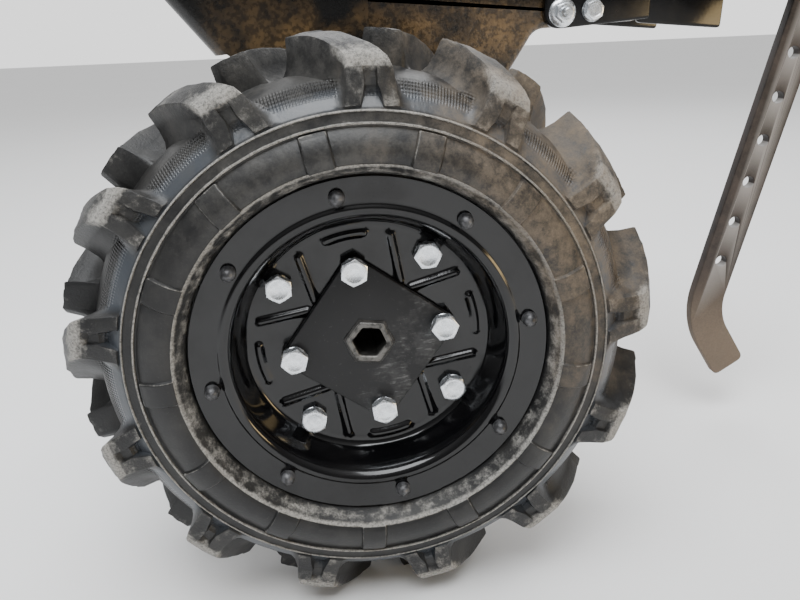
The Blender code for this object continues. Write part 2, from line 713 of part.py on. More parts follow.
def gear_case(axle, idler_at, input_at):
    """Both halves with the bearings and the shaft seals."""
    add("gear_case_near", case_half(-1, idler_at, input_at), "cast black", axle)
    add("gear_case_far", case_half(1, idler_at, input_at), "cast black", axle)
    bearing_at = CASE_HALF - CASE_WALL - 0.001 - GAP - BEARING_WIDTH / 2
    for name, side in (("near", -1), ("far", 1)):
        turned_ring(f"axle_bearing_{name}", "gear steel", axle, (0.0, 0.0, 0.0), BEARING_WIDTH,
                    JOURNAL_R + 3 * GAP, BEARING_R, side * bearing_at)
        turned_ring(f"axle_seal_{name}", "seal rubber", axle, (0.0, 0.0, 0.0), SEAL_WIDTH,
                    JOURNAL_R + 3 * GAP, SEAL_R, side * (CASE_HALF - SEAL_AT))
        turned_ring(f"input_bearing_{name}", "gear steel", axle, input_at, 0.010,
                    INPUT_R + 2 * GAP, SMALL_BEARING_R, side * (CASE_HALF - CASE_WALL - 0.0065))
    turned_ring("input_seal", "seal rubber", axle, input_at, SEAL_WIDTH,
                INPUT_R + 2 * GAP, SMALL_SEAL_R, CASE_HALF - SEAL_AT)


# Frame -------------------------------------------------------------------------------------------
def front_guard_mesh(input_at):
    """One folded sheet round the front of the case: two sides and the sloping nose, with a hole
    for the input shaft."""
    top, toe = Vector(GUARD_TOP), Vector(GUARD_TOE)
    outline = [GUARD_TOP, GUARD_TOE, (GUARD_REAR, GUARD_LOW), (GUARD_REAR, CASE_TOP)]
    down = (toe - top).normalized()
    inward = Vector((-down.y, down.x)) * GUARD_SHEET
    hollow = [tuple(top + inward - down * 0.05), tuple(toe + inward + down * 0.05),
              (GUARD_REAR + 0.02, 0.05), (GUARD_REAR + 0.02, CASE_TOP + 0.05)]
    inner = GUARD_HALF - GUARD_SHEET
    opening = y_bar(INPUT_R + 0.006, inner - PAST, GUARD_HALF + PAST, 16,
                    (input_at[0], input_at[2]))
    return cut(plate(outline, -GUARD_HALF, GUARD_HALF), plate(hollow, -inner, inner), opening)


def cheek_fastener(at, side, out, washer_r, shank_out):
    """A stud and flange nut, or a flange bolt, through a cheek into the case."""
    face = CASE_HALF + GAP + CHEEK_THICK + GAP
    pieces = [hex_bar(FASTENER_ACROSS, face + 0.001, face + out, radians(20), at),
              round_bar(washer_r, face, face + 0.0018, 16, at)]
    shank = round_bar(FASTENER_R, CASE_HALF - CASE_WALL - 0.006, face + shank_out, 12, at)
    mesh = union(shank, *pieces)
    mesh.transform(ACROSS if side < 0 else Matrix.Scale(-1, 4, (0, 1, 0)) @ ACROSS)
    if side > 0:
        mesh.flip_normals()
    return mesh


def frame_pieces(axle, input_at):
    """The guard, the deck, and on each side a frame plate and a cheek that splices it to the
    case; the far cheek's fasteners are made in one with it."""
    add("front_guard", front_guard_mesh(input_at), "gloss black", axle)
    bottom = CASE_TOP + GAP
    deck = slab([(DECK_X[0], -DECK_HALF), (DECK_X[1], -DECK_HALF), (DECK_X[1], DECK_HALF),
                 (DECK_X[0], DECK_HALF)], bottom, bottom + DECK_THICK,
                [((x, y), DECK_HOLE_R, 8) for x in DECK_HOLES_X for y in DECK_HOLES_Y])
    add("deck_plate", deck, "gloss black", axle)

    cheek_outline = (arc(CHEEK_CORNER, CHEEK_CORNER_R, pi, pi + radians(85), 4)
                     + [(CHEEK_X[1], CHEEK_LOW), (CHEEK_X[1], CASE_TOP), (CHEEK_X[0], CASE_TOP)])
    for name, side in (("near", -1), ("far", 1)):
        inner, outer = CASE_HALF + GAP, CASE_HALF + GAP + CHEEK_THICK
        bores = [(place, FASTENER_HOLE_R, 10)
                 for place in (CHEEK_STUD, CHEEK_BOLT)] if side < 0 else []
        cheek = plate(cheek_outline, *sorted((side * inner, side * outer)), bores)
        stud = cheek_fastener(CHEEK_STUD, side, *STUD_NUT)
        bolt = cheek_fastener(CHEEK_BOLT, side, *FLANGE_BOLT)
        if side < 0:
            add("cheek_stud_near", stud, "zinc", axle)
            add("cheek_bolt_near", bolt, "zinc", axle)
        else:
            for fastener in (stud, bolt):
                fastener.transform(Matrix.Translation((0.0, -2 * GAP, 0.0)))
            cheek = union(cheek, stud, bolt)
        add(f"cheek_{name}", cheek, "gloss black", axle)
        faces = sorted((side * CASE_HALF, side * (CASE_HALF - FRAME_THICK)))
        add(f"frame_plate_{name}", plate(FRAME_OUTLINE, *faces), "gloss black", axle)

    drawbar = [(DRAWBAR_X[0], DRAWBAR_Z[0]), (DRAWBAR_X[1], DRAWBAR_Z[0]),
               (DRAWBAR_X[1] + DRAWBAR_RAKE, DRAWBAR_Z[1]), (DRAWBAR_X[0], DRAWBAR_Z[1])]
    add("drawbar", plate(drawbar, -DRAWBAR_HALF, DRAWBAR_HALF), "gloss black", axle)


# Drag stake ----------------------------------------------------------------------------------------
def stake_outline():
    """Counter-clockwise: down the front, round the bend to the foot, and up the rear."""
    half = STAKE_WIDTH / 2
    centre = (half + STAKE_BEND_R, STAKE_BEND_AT)
    end = pi + STAKE_BEND
    down = Vector((-sin(end), cos(end)))
    rearward = Vector((-cos(end), -sin(end)))
    front = arc(centre, STAKE_BEND_R + STAKE_WIDTH, pi, end, 6)
    rear = arc(centre, STAKE_BEND_R, end, pi, 5)
    inward = rearward * STAKE_CORNER
    toe = Vector(front[-1]) + down * (STAKE_FOOT - STAKE_CORNER) + inward
    heel = Vector(rear[0]) + down * (STAKE_FOOT - STAKE_CORNER) - inward
    return ([(-half, STAKE_TOP)] + front + arc(toe, STAKE_CORNER, end, end + pi / 2, 3)
            + arc(heel, STAKE_CORNER, end + pi / 2, end + pi, 3) + rear + [(half, STAKE_TOP)])


def drag_stake(axle):
    """The sleeve, the stake and its stop pin, and the clamp screw with its tommy bar."""
    lean = (0.0, STAKE_LEAN, 0.0)
    at = (STAKE_AT[0], 0.0, STAKE_AT[1])
    sleeve_frame = empty("sleeve_frame", at, lean, axle)
    stake_frame = empty("stake_axis", at, lean, axle)
    wide = STAKE_WIDTH / 2 + GAP
    deep = STAKE_THICK / 2 + GAP
    low, high = SLEEVE_SPAN
    outer = box((-wide - SLEEVE_WALL, -deep - SLEEVE_WALL, low),
                (wide + SLEEVE_WALL, deep + SLEEVE_WALL, high))
    boss = x_bar(CLAMP_BOSS_R, wide + 0.002, CLAMP_BOSS_END, 16, CLAMP_Z)
    sleeve = cut(union(outer, boss), box((-wide, -deep, low - PAST), (wide, deep, high + PAST)),
                 x_bar(CLAMP_R + GAP, 0.0, CLAMP_BOSS_END + PAST, 12, CLAMP_Z))
    add("stake_sleeve", sleeve, "gloss black", sleeve_frame)

    places = [((0.0, STAKE_HOLE_TOP - STAKE_PITCH * i), STAKE_HOLE_R, 10)
              for i in range(STAKE_HOLES)]
    stake = plate(stake_outline(), -STAKE_THICK / 2, STAKE_THICK / 2, places)
    add("drag_stake", stake, "dusty steel", stake_frame)
    pin = union(y_bar(STOP_PIN_R, -STOP_PIN_HALF, STOP_PIN_HALF, 12),
                y_bar(STOP_HEAD_R, *STOP_HEAD, 12))
    add("stop_pin", pin, "zinc", stake_frame, (0.0, 0.0, STAKE_HOLE_TOP))

    clamp_frame = empty("clamp_axis", (0.0, 0.0, CLAMP_Z), parent=sleeve_frame)
    bar_at = sum(CLAMP_HEAD) / 2
    screw = union(x_bar(CLAMP_R, wide, CLAMP_HEAD[1] - 0.001, 12),
                  x_bar(CLAMP_HEAD_R, *CLAMP_HEAD, 16))
    tommy_hole = y_bar(TOMMY_R + GAP, -2 * CLAMP_HEAD_R, 2 * CLAMP_HEAD_R, 12, (bar_at, 0.0))
    add("clamp_screw", cut(screw, tommy_hole), "zinc", clamp_frame)
    tommy = turned(mirrored(TOMMY_KNOB), 10, ring=False)
    tommy.transform(ACROSS)
    add("tommy_bar", tommy, "zinc", clamp_frame, (bar_at, 0.0, 0.0))


def main():
    """Everything, on empties at the axle, at the wheels and at the other joints."""
    axle = empty("axle_axis", (AXLE_X, 0.0, AXLE_Z))
    near = empty("near_wheel", (0.0, -TRACK / 2, 0.0), (pi / 2, 0.0, 0.0), axle)
    far = empty("far_wheel", (0.0, TRACK / 2, 0.0), (-pi / 2, 0.0, 0.0), axle)
    tyre = tyre_mesh()
    add("tyre_near", tyre, "tyre rubber", near)
    add("tyre_far", tyre, "tyre rubber", axle, (0.0, TRACK / 2, 0.0), (pi / 2, 0.0, 0.0))
    wheel("near", near, 1)
    wheel("far", far, -1)

    idler_reach = MODULE * (AXLE_TEETH + IDLER_TEETH) / 2
    idler_at = (idler_reach * cos(IDLER_LEAN), 0.0, idler_reach * sin(IDLER_LEAN))
    input_at = (idler_at[0], 0.0, idler_at[2] + MODULE * (IDLER_TEETH + INPUT_TEETH) / 2)
    drive_train(axle, idler_at, input_at)
    gear_case(axle, idler_at, input_at)
    frame_pieces(axle, input_at)
    drag_stake(axle)


main()
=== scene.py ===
"""Looks for the running gear of a walk-behind tiller.

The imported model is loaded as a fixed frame, and each sub-assembly (wheels, drive train, chassis,
drag stake) builds its visible pieces around it and dresses them. Metres throughout, +Z up, +X to
the rear of the machine, the near wheel on the -Y side.
"""

import logging
import math
from dataclasses import dataclass
from enum import Enum

import bmesh
import bpy
import numpy as np
from mathutils import Matrix, Vector


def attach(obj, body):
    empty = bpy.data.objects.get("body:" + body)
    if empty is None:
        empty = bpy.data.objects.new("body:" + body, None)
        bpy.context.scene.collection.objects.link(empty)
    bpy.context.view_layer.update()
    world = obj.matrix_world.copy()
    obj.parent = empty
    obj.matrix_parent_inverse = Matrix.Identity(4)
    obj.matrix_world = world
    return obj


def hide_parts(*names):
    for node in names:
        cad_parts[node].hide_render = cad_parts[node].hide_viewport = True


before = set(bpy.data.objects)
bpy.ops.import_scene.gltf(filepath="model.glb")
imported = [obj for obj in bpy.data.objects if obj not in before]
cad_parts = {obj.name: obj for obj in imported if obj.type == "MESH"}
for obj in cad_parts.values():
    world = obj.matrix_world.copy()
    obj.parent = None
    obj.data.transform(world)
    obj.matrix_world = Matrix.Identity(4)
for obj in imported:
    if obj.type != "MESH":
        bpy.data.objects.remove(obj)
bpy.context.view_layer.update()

Array = np.ndarray
Colour = tuple[float, float, float]
Number = "Signal | float"
LOG = logging.getLogger("tiller")
TURN = 2.0 * math.pi

# Shared places -------------------------------------------------------------------------------
AXLE = (-0.15081, 0.0, 0.19992)     # centre of the axle
TO_AXLE = (-AXLE[0], 0.0, -AXLE[2])     # moves coordinates so that they start at the axle
HALF_TRACK = 0.183                  # from the middle plane of the machine to that of a tyre
INPUT = (-0.14203, 0.34346)         # the input shaft's axis, x and z
CASE_HALF = 0.060                   # from the middle plane to the case's flat side
CASE_TOP = 0.235                    # from the axle up to the case's flat top


class Side(Enum):
    """The two sides of the machine, by the sign of y."""

    NEAR = -1
    FAR = 1

    @property
    def label(self) -> str:
        """The side's name in the names of pieces."""
        return self.name.lower()


class Along(Enum):
    """Which world axis a flat outline is thickened along."""

    Y = "y"
    Z = "z"


# Meshes --------------------------------------------------------------------------------------
class Shell:
    """Grids of points, and flat ends on them, gathered into one mesh."""

    def __init__(self) -> None:
        """Starts with nothing in it."""
        self.points: list[Array] = []
        self.faces: list[list[int]] = []
        self.values: dict[str, list[Array]] = {}
        self.size = 0

    def grid(self, points: Array, wrap: tuple[bool, bool] = (False, False),
             ends: tuple[bool, bool] = (False, False), **values: Array) -> "Shell":
        """Adds a grid of points; neighbours in rows and columns make the four-sided faces.

        Args:
            points: an array of rows x columns x 3.
            wrap: whether the last row joins the first, and the last column the first.
            ends: whether a flat face closes the first row, and the last row.
            values: numbers from 0 to 1 at every point, stored as attributes of the mesh.

        Returns:
            The shell itself.
        """
        rows, columns = points.shape[:2]
        index = np.arange(rows * columns).reshape(rows, columns) + self.size
        looped = np.vstack([index, index[:1]]) if wrap[0] else index
        looped = np.hstack([looped, looped[:, :1]]) if wrap[1] else looped
        corners = (looped[:-1, :-1], looped[:-1, 1:], looped[1:, 1:], looped[1:, :-1])
        self.faces += np.stack(corners, -1).reshape(-1, 4).tolist()
        self.faces += [index[0].tolist()] * ends[0] + [index[-1][::-1].tolist()] * ends[1]
        self.points.append(points.reshape(-1, 3))
        self.size += rows * columns
        for name, value in values.items():
            self.values.setdefault(name, []).append(np.broadcast_to(value, index.shape).ravel())
        return self

    def moved(self, place: "Placing") -> "Shell":
        """Applies a placing to every point.

        Args:
            place: a function from points to points.

        Returns:
            The shell itself.
        """
        self.points = [place(np.concatenate(self.points))]
        return self

    def mesh(self, name: str) -> bpy.types.Mesh:
        """Makes the mesh, with its doubles merged and its faces turned outward.

        Args:
            name: the mesh's name.

        Returns:
            A closed mesh with the attributes of its grids.
        """
        mesh = bpy.data.meshes.new(name)
        mesh.from_pydata(np.concatenate(self.points), [], self.faces)
        for key, parts in self.values.items():
            stored = mesh.attributes.new(key, "FLOAT", "POINT")
            stored.data.foreach_set("value", np.concatenate(parts).astype(np.float32))
        form = bmesh.new()
        form.from_mesh(mesh)
        bmesh.ops.remove_doubles(form, verts=form.verts, dist=1e-6)
        bmesh.ops.dissolve_degenerate(form, edges=form.edges, dist=1e-7)
        bmesh.ops.recalc_face_normals(form, faces=form.faces)
        form.to_mesh(mesh)
        form.free()
        return mesh


class Placing:
    """A turn and a shift of points, with a reflection for the far side where one is asked for."""

    def __init__(self, matrix: Array, shift: Array) -> None:
        """Stores the two.

        Args:
            matrix: 3 x 3; its columns are where the axes go.
            shift: where the origin goes.
        """
        self.matrix, self.shift = matrix, shift

    def __call__(self, points: Array) -> Array:
        """The points after the turn and the shift."""
        return points @ self.matrix.T + self.shift

    def after(self, x: float, y: float, z: float = 0.0) -> "Placing":
        """The placing of something that stands at (x, y, z) in this one's own frame."""
        return Placing(self.matrix, self(np.array([x, y, z])))

    def carry(self, mesh: bpy.types.Mesh) -> bpy.types.Mesh:
        """Moves a finished mesh from this placing's own frame into the world."""
        rows = np.column_stack([self.matrix, self.shift]).tolist()
        mesh.transform(Matrix([*rows, [0.0, 0.0, 0.0, 1.0]]))
        return mesh


ORIGIN = np.zeros(3)
REARWARD = np.array([[0.0, 0.0, 1.0], [0.0, 1.0, 0.0], [1.0, 0.0, 0.0]])    # z goes along x


def sideways(sign: float = 1.0) -> Array:
    """The turn that lays z along y, or against it where sign is -1, and stands y upright."""
    return np.array([[1.0, 0.0, 0.0], [0.0, 0.0, sign], [0.0, 1.0, 0.0]])


def wheel_place(side: Side) -> Placing:
    """A wheel's own frame: x to the rear, y up, z outboard from the tyre's middle plane.

    Args:
        side: which wheel; the far one is the near one's reflection.

    Returns:
        The placing of the wheel's pieces.
    """
    at = np.array([AXLE[0], side.value * HALF_TRACK, AXLE[2]])
    return Placing(sideways(side.value), at)


def leaning_place(at: tuple[float, float, float], lean: float) -> Placing:
    """A frame that leans to the rear about Y: its z runs along the stake.

    Args:
        at: its origin in the world.
        lean: the angle from the vertical.

    Returns:
        The placing.
    """
    c, s = math.cos(lean), math.sin(lean)
    return Placing(np.array([[c, 0.0, s], [0.0, 1.0, 0.0], [-s, 0.0, c]]), np.array(at))


def smooth(low: float, high: float, value: Array) -> Array:
    """The smooth step 3t^2 - 2t^3, with t running from 0 at low to 1 at high."""
    t = np.clip((value - low) / (high - low), 0.0, 1.0)
    return t * t * (3.0 - 2.0 * t)


def turned(profile: list[tuple[float, float]] | Array, columns: int) -> Array:
    """A surface of revolution about z: each (across, radius) goes round as
    (radius cos a, radius sin a, across).

    Args:
        profile: the points of the profile.
        columns: steps round the axis.

    Returns:
        A grid of points.
    """
    across, radius = np.asarray(profile, float).T[:, :, None]
    angle = np.arange(columns) * TURN / columns
    return np.stack([radius * np.cos(angle), radius * np.sin(angle),
                     np.broadcast_to(across, (len(across), columns))], -1)


def cylinder(low: float, high: float, radius: float, columns: int) -> Array:
    """A plain cylinder along z, as a grid that starts and ends on its axis."""
    return turned([(low, 0.0), (low, radius), (high, radius), (high, 0.0)], columns)


def rounded(corners: list[tuple[float, float]], radii: float | list[float],
            steps: int = 5) -> Array:
    """A polygon with rounded corners. At a corner C the curve (1-t)^2 A + 2t(1-t) C + t^2 B runs
    between A and B, which stand back from C along its two sides.

    Args:
        corners: the polygon's corners in order.
        radii: how far A and B stand back, for all corners or for each.
        steps: points on each corner.

    Returns:
        The outline as points x 2.
    """
    corner = np.asarray(corners, float)
    back = np.broadcast_to(np.asarray(radii, float), len(corner))[:, None]
    before, after = np.roll(corner, 1, 0) - corner, np.roll(corner, -1, 0) - corner
    one = corner + before / np.linalg.norm(before, axis=1, keepdims=True) * back
    two = corner + after / np.linalg.norm(after, axis=1, keepdims=True) * back
    t = np.linspace(0.0, 1.0, steps)[None, :, None]
    curve = (1 - t) ** 2 * one[:, None] + 2 * t * (1 - t) * corner[:, None] + t ** 2 * two[:, None]
    return curve.reshape(-1, 2)


def drawn_in(outline: Array, distance: float) -> Array:
    """A closed outline moved inward by distance, along the mean of its sides' normals.

    Args:
        outline: points x 2, in either sense.
        distance: how far; negative moves it outward.

    Returns:
        The new outline.
    """
    x, y = outline.T
    sense = np.sign(np.sum(x * np.roll(y, -1) - np.roll(x, -1) * y))
    side = np.roll(outline, -1, 0) - outline
    side /= np.linalg.norm(side, axis=1, keepdims=True) + 1e-12
    normal = np.stack([-side[:, 1], side[:, 0]], 1) * sense
    mean = normal + np.roll(normal, 1, 0)
    mean /= np.linalg.norm(mean, axis=1, keepdims=True)
    stretch = np.clip(np.sum(mean * normal, 1, keepdims=True), 0.4, 1.0)
    return outline + mean * distance / stretch


def stacked(outline: Array, stations: list[tuple[float, float]], along: Along) -> Array:
    """A flat outline carried through stations; each row is the outline drawn in by the station's
    inset, at the station's height.

    Args:
        outline: points x 2.
        stations: (height, inset) pairs.
        along: the world axis of the heights.

    Returns:
        A grid of points.
    """
    rows = [np.insert(drawn_in(outline, inset), 1 if along is Along.Y else 2, height, axis=1)
            for height, inset in stations]
    return np.stack(rows)


def block(outline: Array, low: float, high: float, edge: float, along: Along,
          steps: int = 4) -> Shell:
    """A thick plate with rounded edges. Near each face the inset is edge (1 - sin a) at a depth of
    edge (1 - cos a), for a from 0 to a quarter turn.

    Args:
        outline: points x 2.
        low: one face.
        high: the other face.
        edge: the radius of the rounded edges.
        along: the world axis from low to high.
        steps: rows on each rounded edge.

    Returns:
        A closed shell.
    """
    a = np.linspace(0.0, math.pi / 2, steps)
    inset, depth = edge * (1 - np.sin(a)), edge * (1 - np.cos(a))
    stations = list(zip(low + depth, inset)) + list(zip(high - depth[::-1], inset[::-1]))
    return Shell().grid(stacked(outline, stations, along), (False, True), (True, True))


def hexagon(angle: Array, across: float, phase: float) -> Array:
    """Distance from the middle to the side of a hexagon: half its width across flats, over the
    cosine of the angle from the nearest flat."""
    sixth = TURN / 6
    return across / 2 / np.cos((angle - phase) % sixth - sixth / 2)


def hex_outline(across: float, phase: float, corner: float) -> Array:
    """A hexagon with slightly rounded corners, one of which points along phase."""
    angles = phase + np.arange(6) * TURN / 6
    reach = across / math.sqrt(3.0)
    return rounded(list(zip(reach * np.cos(angles), reach * np.sin(angles))), corner, 4)


def capsule(x: Array, y: Array, start: tuple[float, float], end: tuple[float, float],
            radius: float) -> Array:
    """The height of a pressed rib: a smooth step down from 1 on the line between two points to 0
    at radius from it.

    Args:
        x, y: where it is asked for.
        start, end: the ends of the rib's line.
        radius: half the rib's width.

    Returns:
        Heights from 0 to 1.
    """
    dx, dy = end[0] - start[0], end[1] - start[1]
    t = np.clip(((x - start[0]) * dx + (y - start[1]) * dy) / (dx * dx + dy * dy), 0.0, 1.0)
    distance = np.hypot(x - start[0] - t * dx, y - start[1] - t * dy)
    return 1.0 - smooth(0.15 * radius, radius, distance)


def ripple(seed: int, *coordinates: Array) -> Array:
    """A repeatable roughness between -1 and 1: a sum of sines of the coordinates with seeded
    directions and phases, which rises and falls several times over a lug."""
    draw = np.random.default_rng(seed)
    total = np.zeros(np.broadcast(*coordinates).shape)
    for size in (260.0, 420.0, 700.0, 1100.0):
        direction = draw.normal(size=len(coordinates))
        total += np.sin(size * sum(d * c for d, c in zip(direction, coordinates))
                        + draw.uniform(0.0, TURN))
    return total / 4.0


# Node graphs ---------------------------------------------------------------------------------
class Signal:
    """A node's output socket; arithmetic on it adds Math nodes."""

    def __init__(self, graph: "Graph", socket: bpy.types.NodeSocket) -> None:
        """Wraps a socket of graph."""
        self.graph, self.socket = graph, socket

    def math(self, operation: str, *others: Number) -> "Signal":
        """A Math node on this value and the others."""
        return self.graph.node("ShaderNodeMath", {"operation": operation}, [self, *others])

    def __add__(self, other: Number) -> "Signal":
        """This value plus the other."""
        return self.math("ADD", other)

    def __sub__(self, other: Number) -> "Signal":
        """This value less the other."""
        return self.math("SUBTRACT", other)

    def __rsub__(self, other: Number) -> "Signal":
        """The other less this value."""
        return self.graph.node("ShaderNodeMath", {"operation": "SUBTRACT"}, [other, self])

    def __mul__(self, other: Number) -> "Signal":
        """This value times the other."""
        return self.math("MULTIPLY", other)

    def __truediv__(self, other: Number) -> "Signal":
        """This value over the other."""
        return self.math("DIVIDE", other)

    def __pow__(self, other: Number) -> "Signal":
        """This value to the power of the other."""
        return self.math("POWER", other)

    __radd__ = __add__
    __rmul__ = __mul__

    def step(self, low: float, high: float) -> "Signal":
        """A smooth step from 0 at low to 1 at high; it falls where low is the larger."""
        if low > high:
            return 1.0 - self.step(high, low)
        settings = {"interpolation_type": "SMOOTHSTEP"}
        return self.graph.node("ShaderNodeMapRange", settings, {0: self, 1: low, 2: high})


class Graph:
    """The node tree of one material, which ends in a Principled shader."""

    def __init__(self, name: str) -> None:
        """Makes the material and its shader.

        Args:
            name: the material's name.
        """
        self.material = bpy.data.materials.new(name)
        self.material.use_nodes = True
        self.tree = self.material.node_tree
        self.shader = self.tree.nodes["Principled BSDF"]

    def node(self, kind: str, settings: dict | None = None,
             inputs: dict | list | None = None, output: int | str = 0) -> Signal:
        """Adds a node.

        Args:
            kind: the node's type.
            settings: its properties, set first.
            inputs: values or signals for its sockets, in order or by name or number.
            output: which of its outputs is returned.

        Returns:
            That output.
        """
        made = self.tree.nodes.new(kind)
        for key, value in (settings or {}).items():
            setattr(made, key, value)
        pairs = enumerate(inputs) if isinstance(inputs, list) else (inputs or {}).items()
        for key, value in pairs:
            self.feed(made.inputs[key], value)
        return Signal(self, made.outputs[output])

    def feed(self, socket: bpy.types.NodeSocket, value: "Signal | float | tuple") -> None:
        """Links a signal to a socket, or sets the socket's own value."""
        if isinstance(value, Signal):
            self.tree.links.new(value.socket, socket)
        elif isinstance(value, tuple) and len(value) == 3 and len(socket.default_value) == 4:
            socket.default_value = (*value, 1.0)
        else:
            socket.default_value = value

    def place(self, scale: Colour = (1.0, 1.0, 1.0), shift: Colour = (0.0, 0.0, 0.0)) -> Signal:
        """Object coordinates, scaled and shifted."""
        here = self.node("ShaderNodeTexCoord", output="Object")
        return self.node("ShaderNodeMapping", None, {"Vector": here, "Scale": scale,
                                                     "Location": shift})

    def axes(self, vector: Signal) -> tuple[Signal, Signal, Signal]:
        """The three parts of a vector."""
        first = self.node("ShaderNodeSeparateXYZ", None, [vector])
        outputs = first.socket.node.outputs
        return first, Signal(self, outputs[1]), Signal(self, outputs[2])

    def noise(self, scale: float, detail: float = 4.0, roughness: float = 0.55,
              vector: Signal | None = None) -> Signal:
        """Noise about 0.5 on Object coordinates, or on the vector given."""
        return self.node("ShaderNodeTexNoise", None,
                         {"Vector": vector or self.place(), "Scale": scale, "Detail": detail,
                          "Roughness": roughness})

    def attribute(self, name: str) -> Signal:
        """A number stored on the mesh."""
        return self.node("ShaderNodeAttribute", {"attribute_name": name}, output="Fac")

    def mix(self, factor: Number, first: "Signal | Colour", second: "Signal | Colour") -> Signal:
        """The first colour, going over to the second with the factor."""
        return self.node("ShaderNodeMix", {"data_type": "RGBA"},
                         {0: factor, 6: first, 7: second}, output=2)

    def bump(self, height: Signal, distance: float, strength: float = 1.0) -> Signal:
        """A Bump node on a height from 0 to 1."""
        return self.node("ShaderNodeBump", None,
                         {"Strength": strength, "Distance": distance, "Height": height})

    def finish(self, **sockets: "Signal | float | tuple") -> bpy.types.Material:
        """Feeds the shader's sockets, whose names are written with underscores.

        Returns:
            The material.
        """
        for name, value in sockets.items():
            title = name.replace("_", " ").title().replace("Ior", "IOR")
            self.feed(self.shader.inputs[title], value)
        return self.material


# Finishes ------------------------------------------------------------------------------------
@dataclass(frozen=True)
class Finish:
    """A finish, made into a material once and then reused."""

    name: str

    def material(self) -> bpy.types.Material:
        """The material, made on the first call."""
        return bpy.data.materials.get(self.name) or self.build(Graph(self.name))

    def build(self, graph: Graph) -> bpy.types.Material:
        """Fills the graph; each kind of finish has its own."""
        raise NotImplementedError


@dataclass(frozen=True)
class Paint(Finish):
    """Gloss paint on steel, with a film of dust and small runs in the surface."""

    colour: Colour = (0.0025, 0.0025, 0.003)
    dust: Colour = (0.12, 0.11, 0.10)
    roughness: float = 0.13
    dusty: float = 0.03
    grain: float = 0.00005
    grain_scale: float = 55.0
    coat: float = 0.0
    specular: float = 0.30

    def build(self, graph: Graph) -> bpy.types.Material:
        """Broad noise spreads the dust and the roughness; fine noise gives the bump."""
        film = graph.noise(14.0, 6.0, 0.65).step(0.42, 0.72)
        specks = graph.noise(900.0, 2.0).step(0.70, 0.78)
        dust = film * self.dusty + specks * self.dusty
        relief = graph.noise(self.grain_scale, 3.0) + graph.noise(420.0, 2.0) * 0.25
        return graph.finish(
            base_color=graph.mix(dust, self.colour, self.dust),
            roughness=film * 0.16 + specks * 0.2 + self.roughness,
            coat_weight=self.coat * (1.0 - film * 0.5), coat_roughness=0.06,
            specular_ior_level=self.specular, normal=graph.bump(relief, self.grain))


@dataclass(frozen=True)
class Casting(Finish):
    """Black paint over a sand casting: deep grain under a wet-looking gloss."""

    colour: Colour = (0.006, 0.006, 0.006)
    # dust: here the brown of a painted reflection of the floor, not dust.
    dust: Colour = (0.27, 0.17, 0.075)
    grain: float = 0.0011
    # The painted floor reflection lies below these heights and to the rear of this front limit.
    soil_high: float = 0.445
    soil_low: float = 0.40
    soil_front: float = -0.40

    def build(self, graph: Graph) -> bpy.types.Material:
        """Two sizes of rounded cells make the sand grain; a brown painted reflection of the floor
        lies on the lower front, broken up by the grain, and the grain's peaks get a faint painted
        glint of the same brown.
        """
        coarse = graph.noise(240.0, 4.0, 0.6)
        fine = graph.noise(620.0, 3.0, 0.6)
        film = graph.noise(17.0, 5.0, 0.62).step(0.36, 0.66)
        x, _, z = graph.axes(graph.place())
        # Painted reflection of the brown floor: lower parts only, broken up by the film and the
        # grain.
        floor_reflection = z.step(self.soil_high, self.soil_low) * x.step(self.soil_front,
                                                              self.soil_front + 0.03)
        floor_reflection = floor_reflection * film * (coarse.step(0.36, 0.6) * 0.7 + 0.3)
        # The grain's peaks also get a faint painted glint of the same brown.
        return graph.finish(
            base_color=graph.mix(floor_reflection * 0.75 + coarse.step(0.60, 0.75) * 0.05,
                                 self.colour, self.dust),
            roughness=coarse * 0.25 + 0.15, coat_weight=0.25, coat_roughness=0.1,
            specular_ior_level=0.35, normal=graph.bump(coarse * 0.7 + fine * 0.3, self.grain))


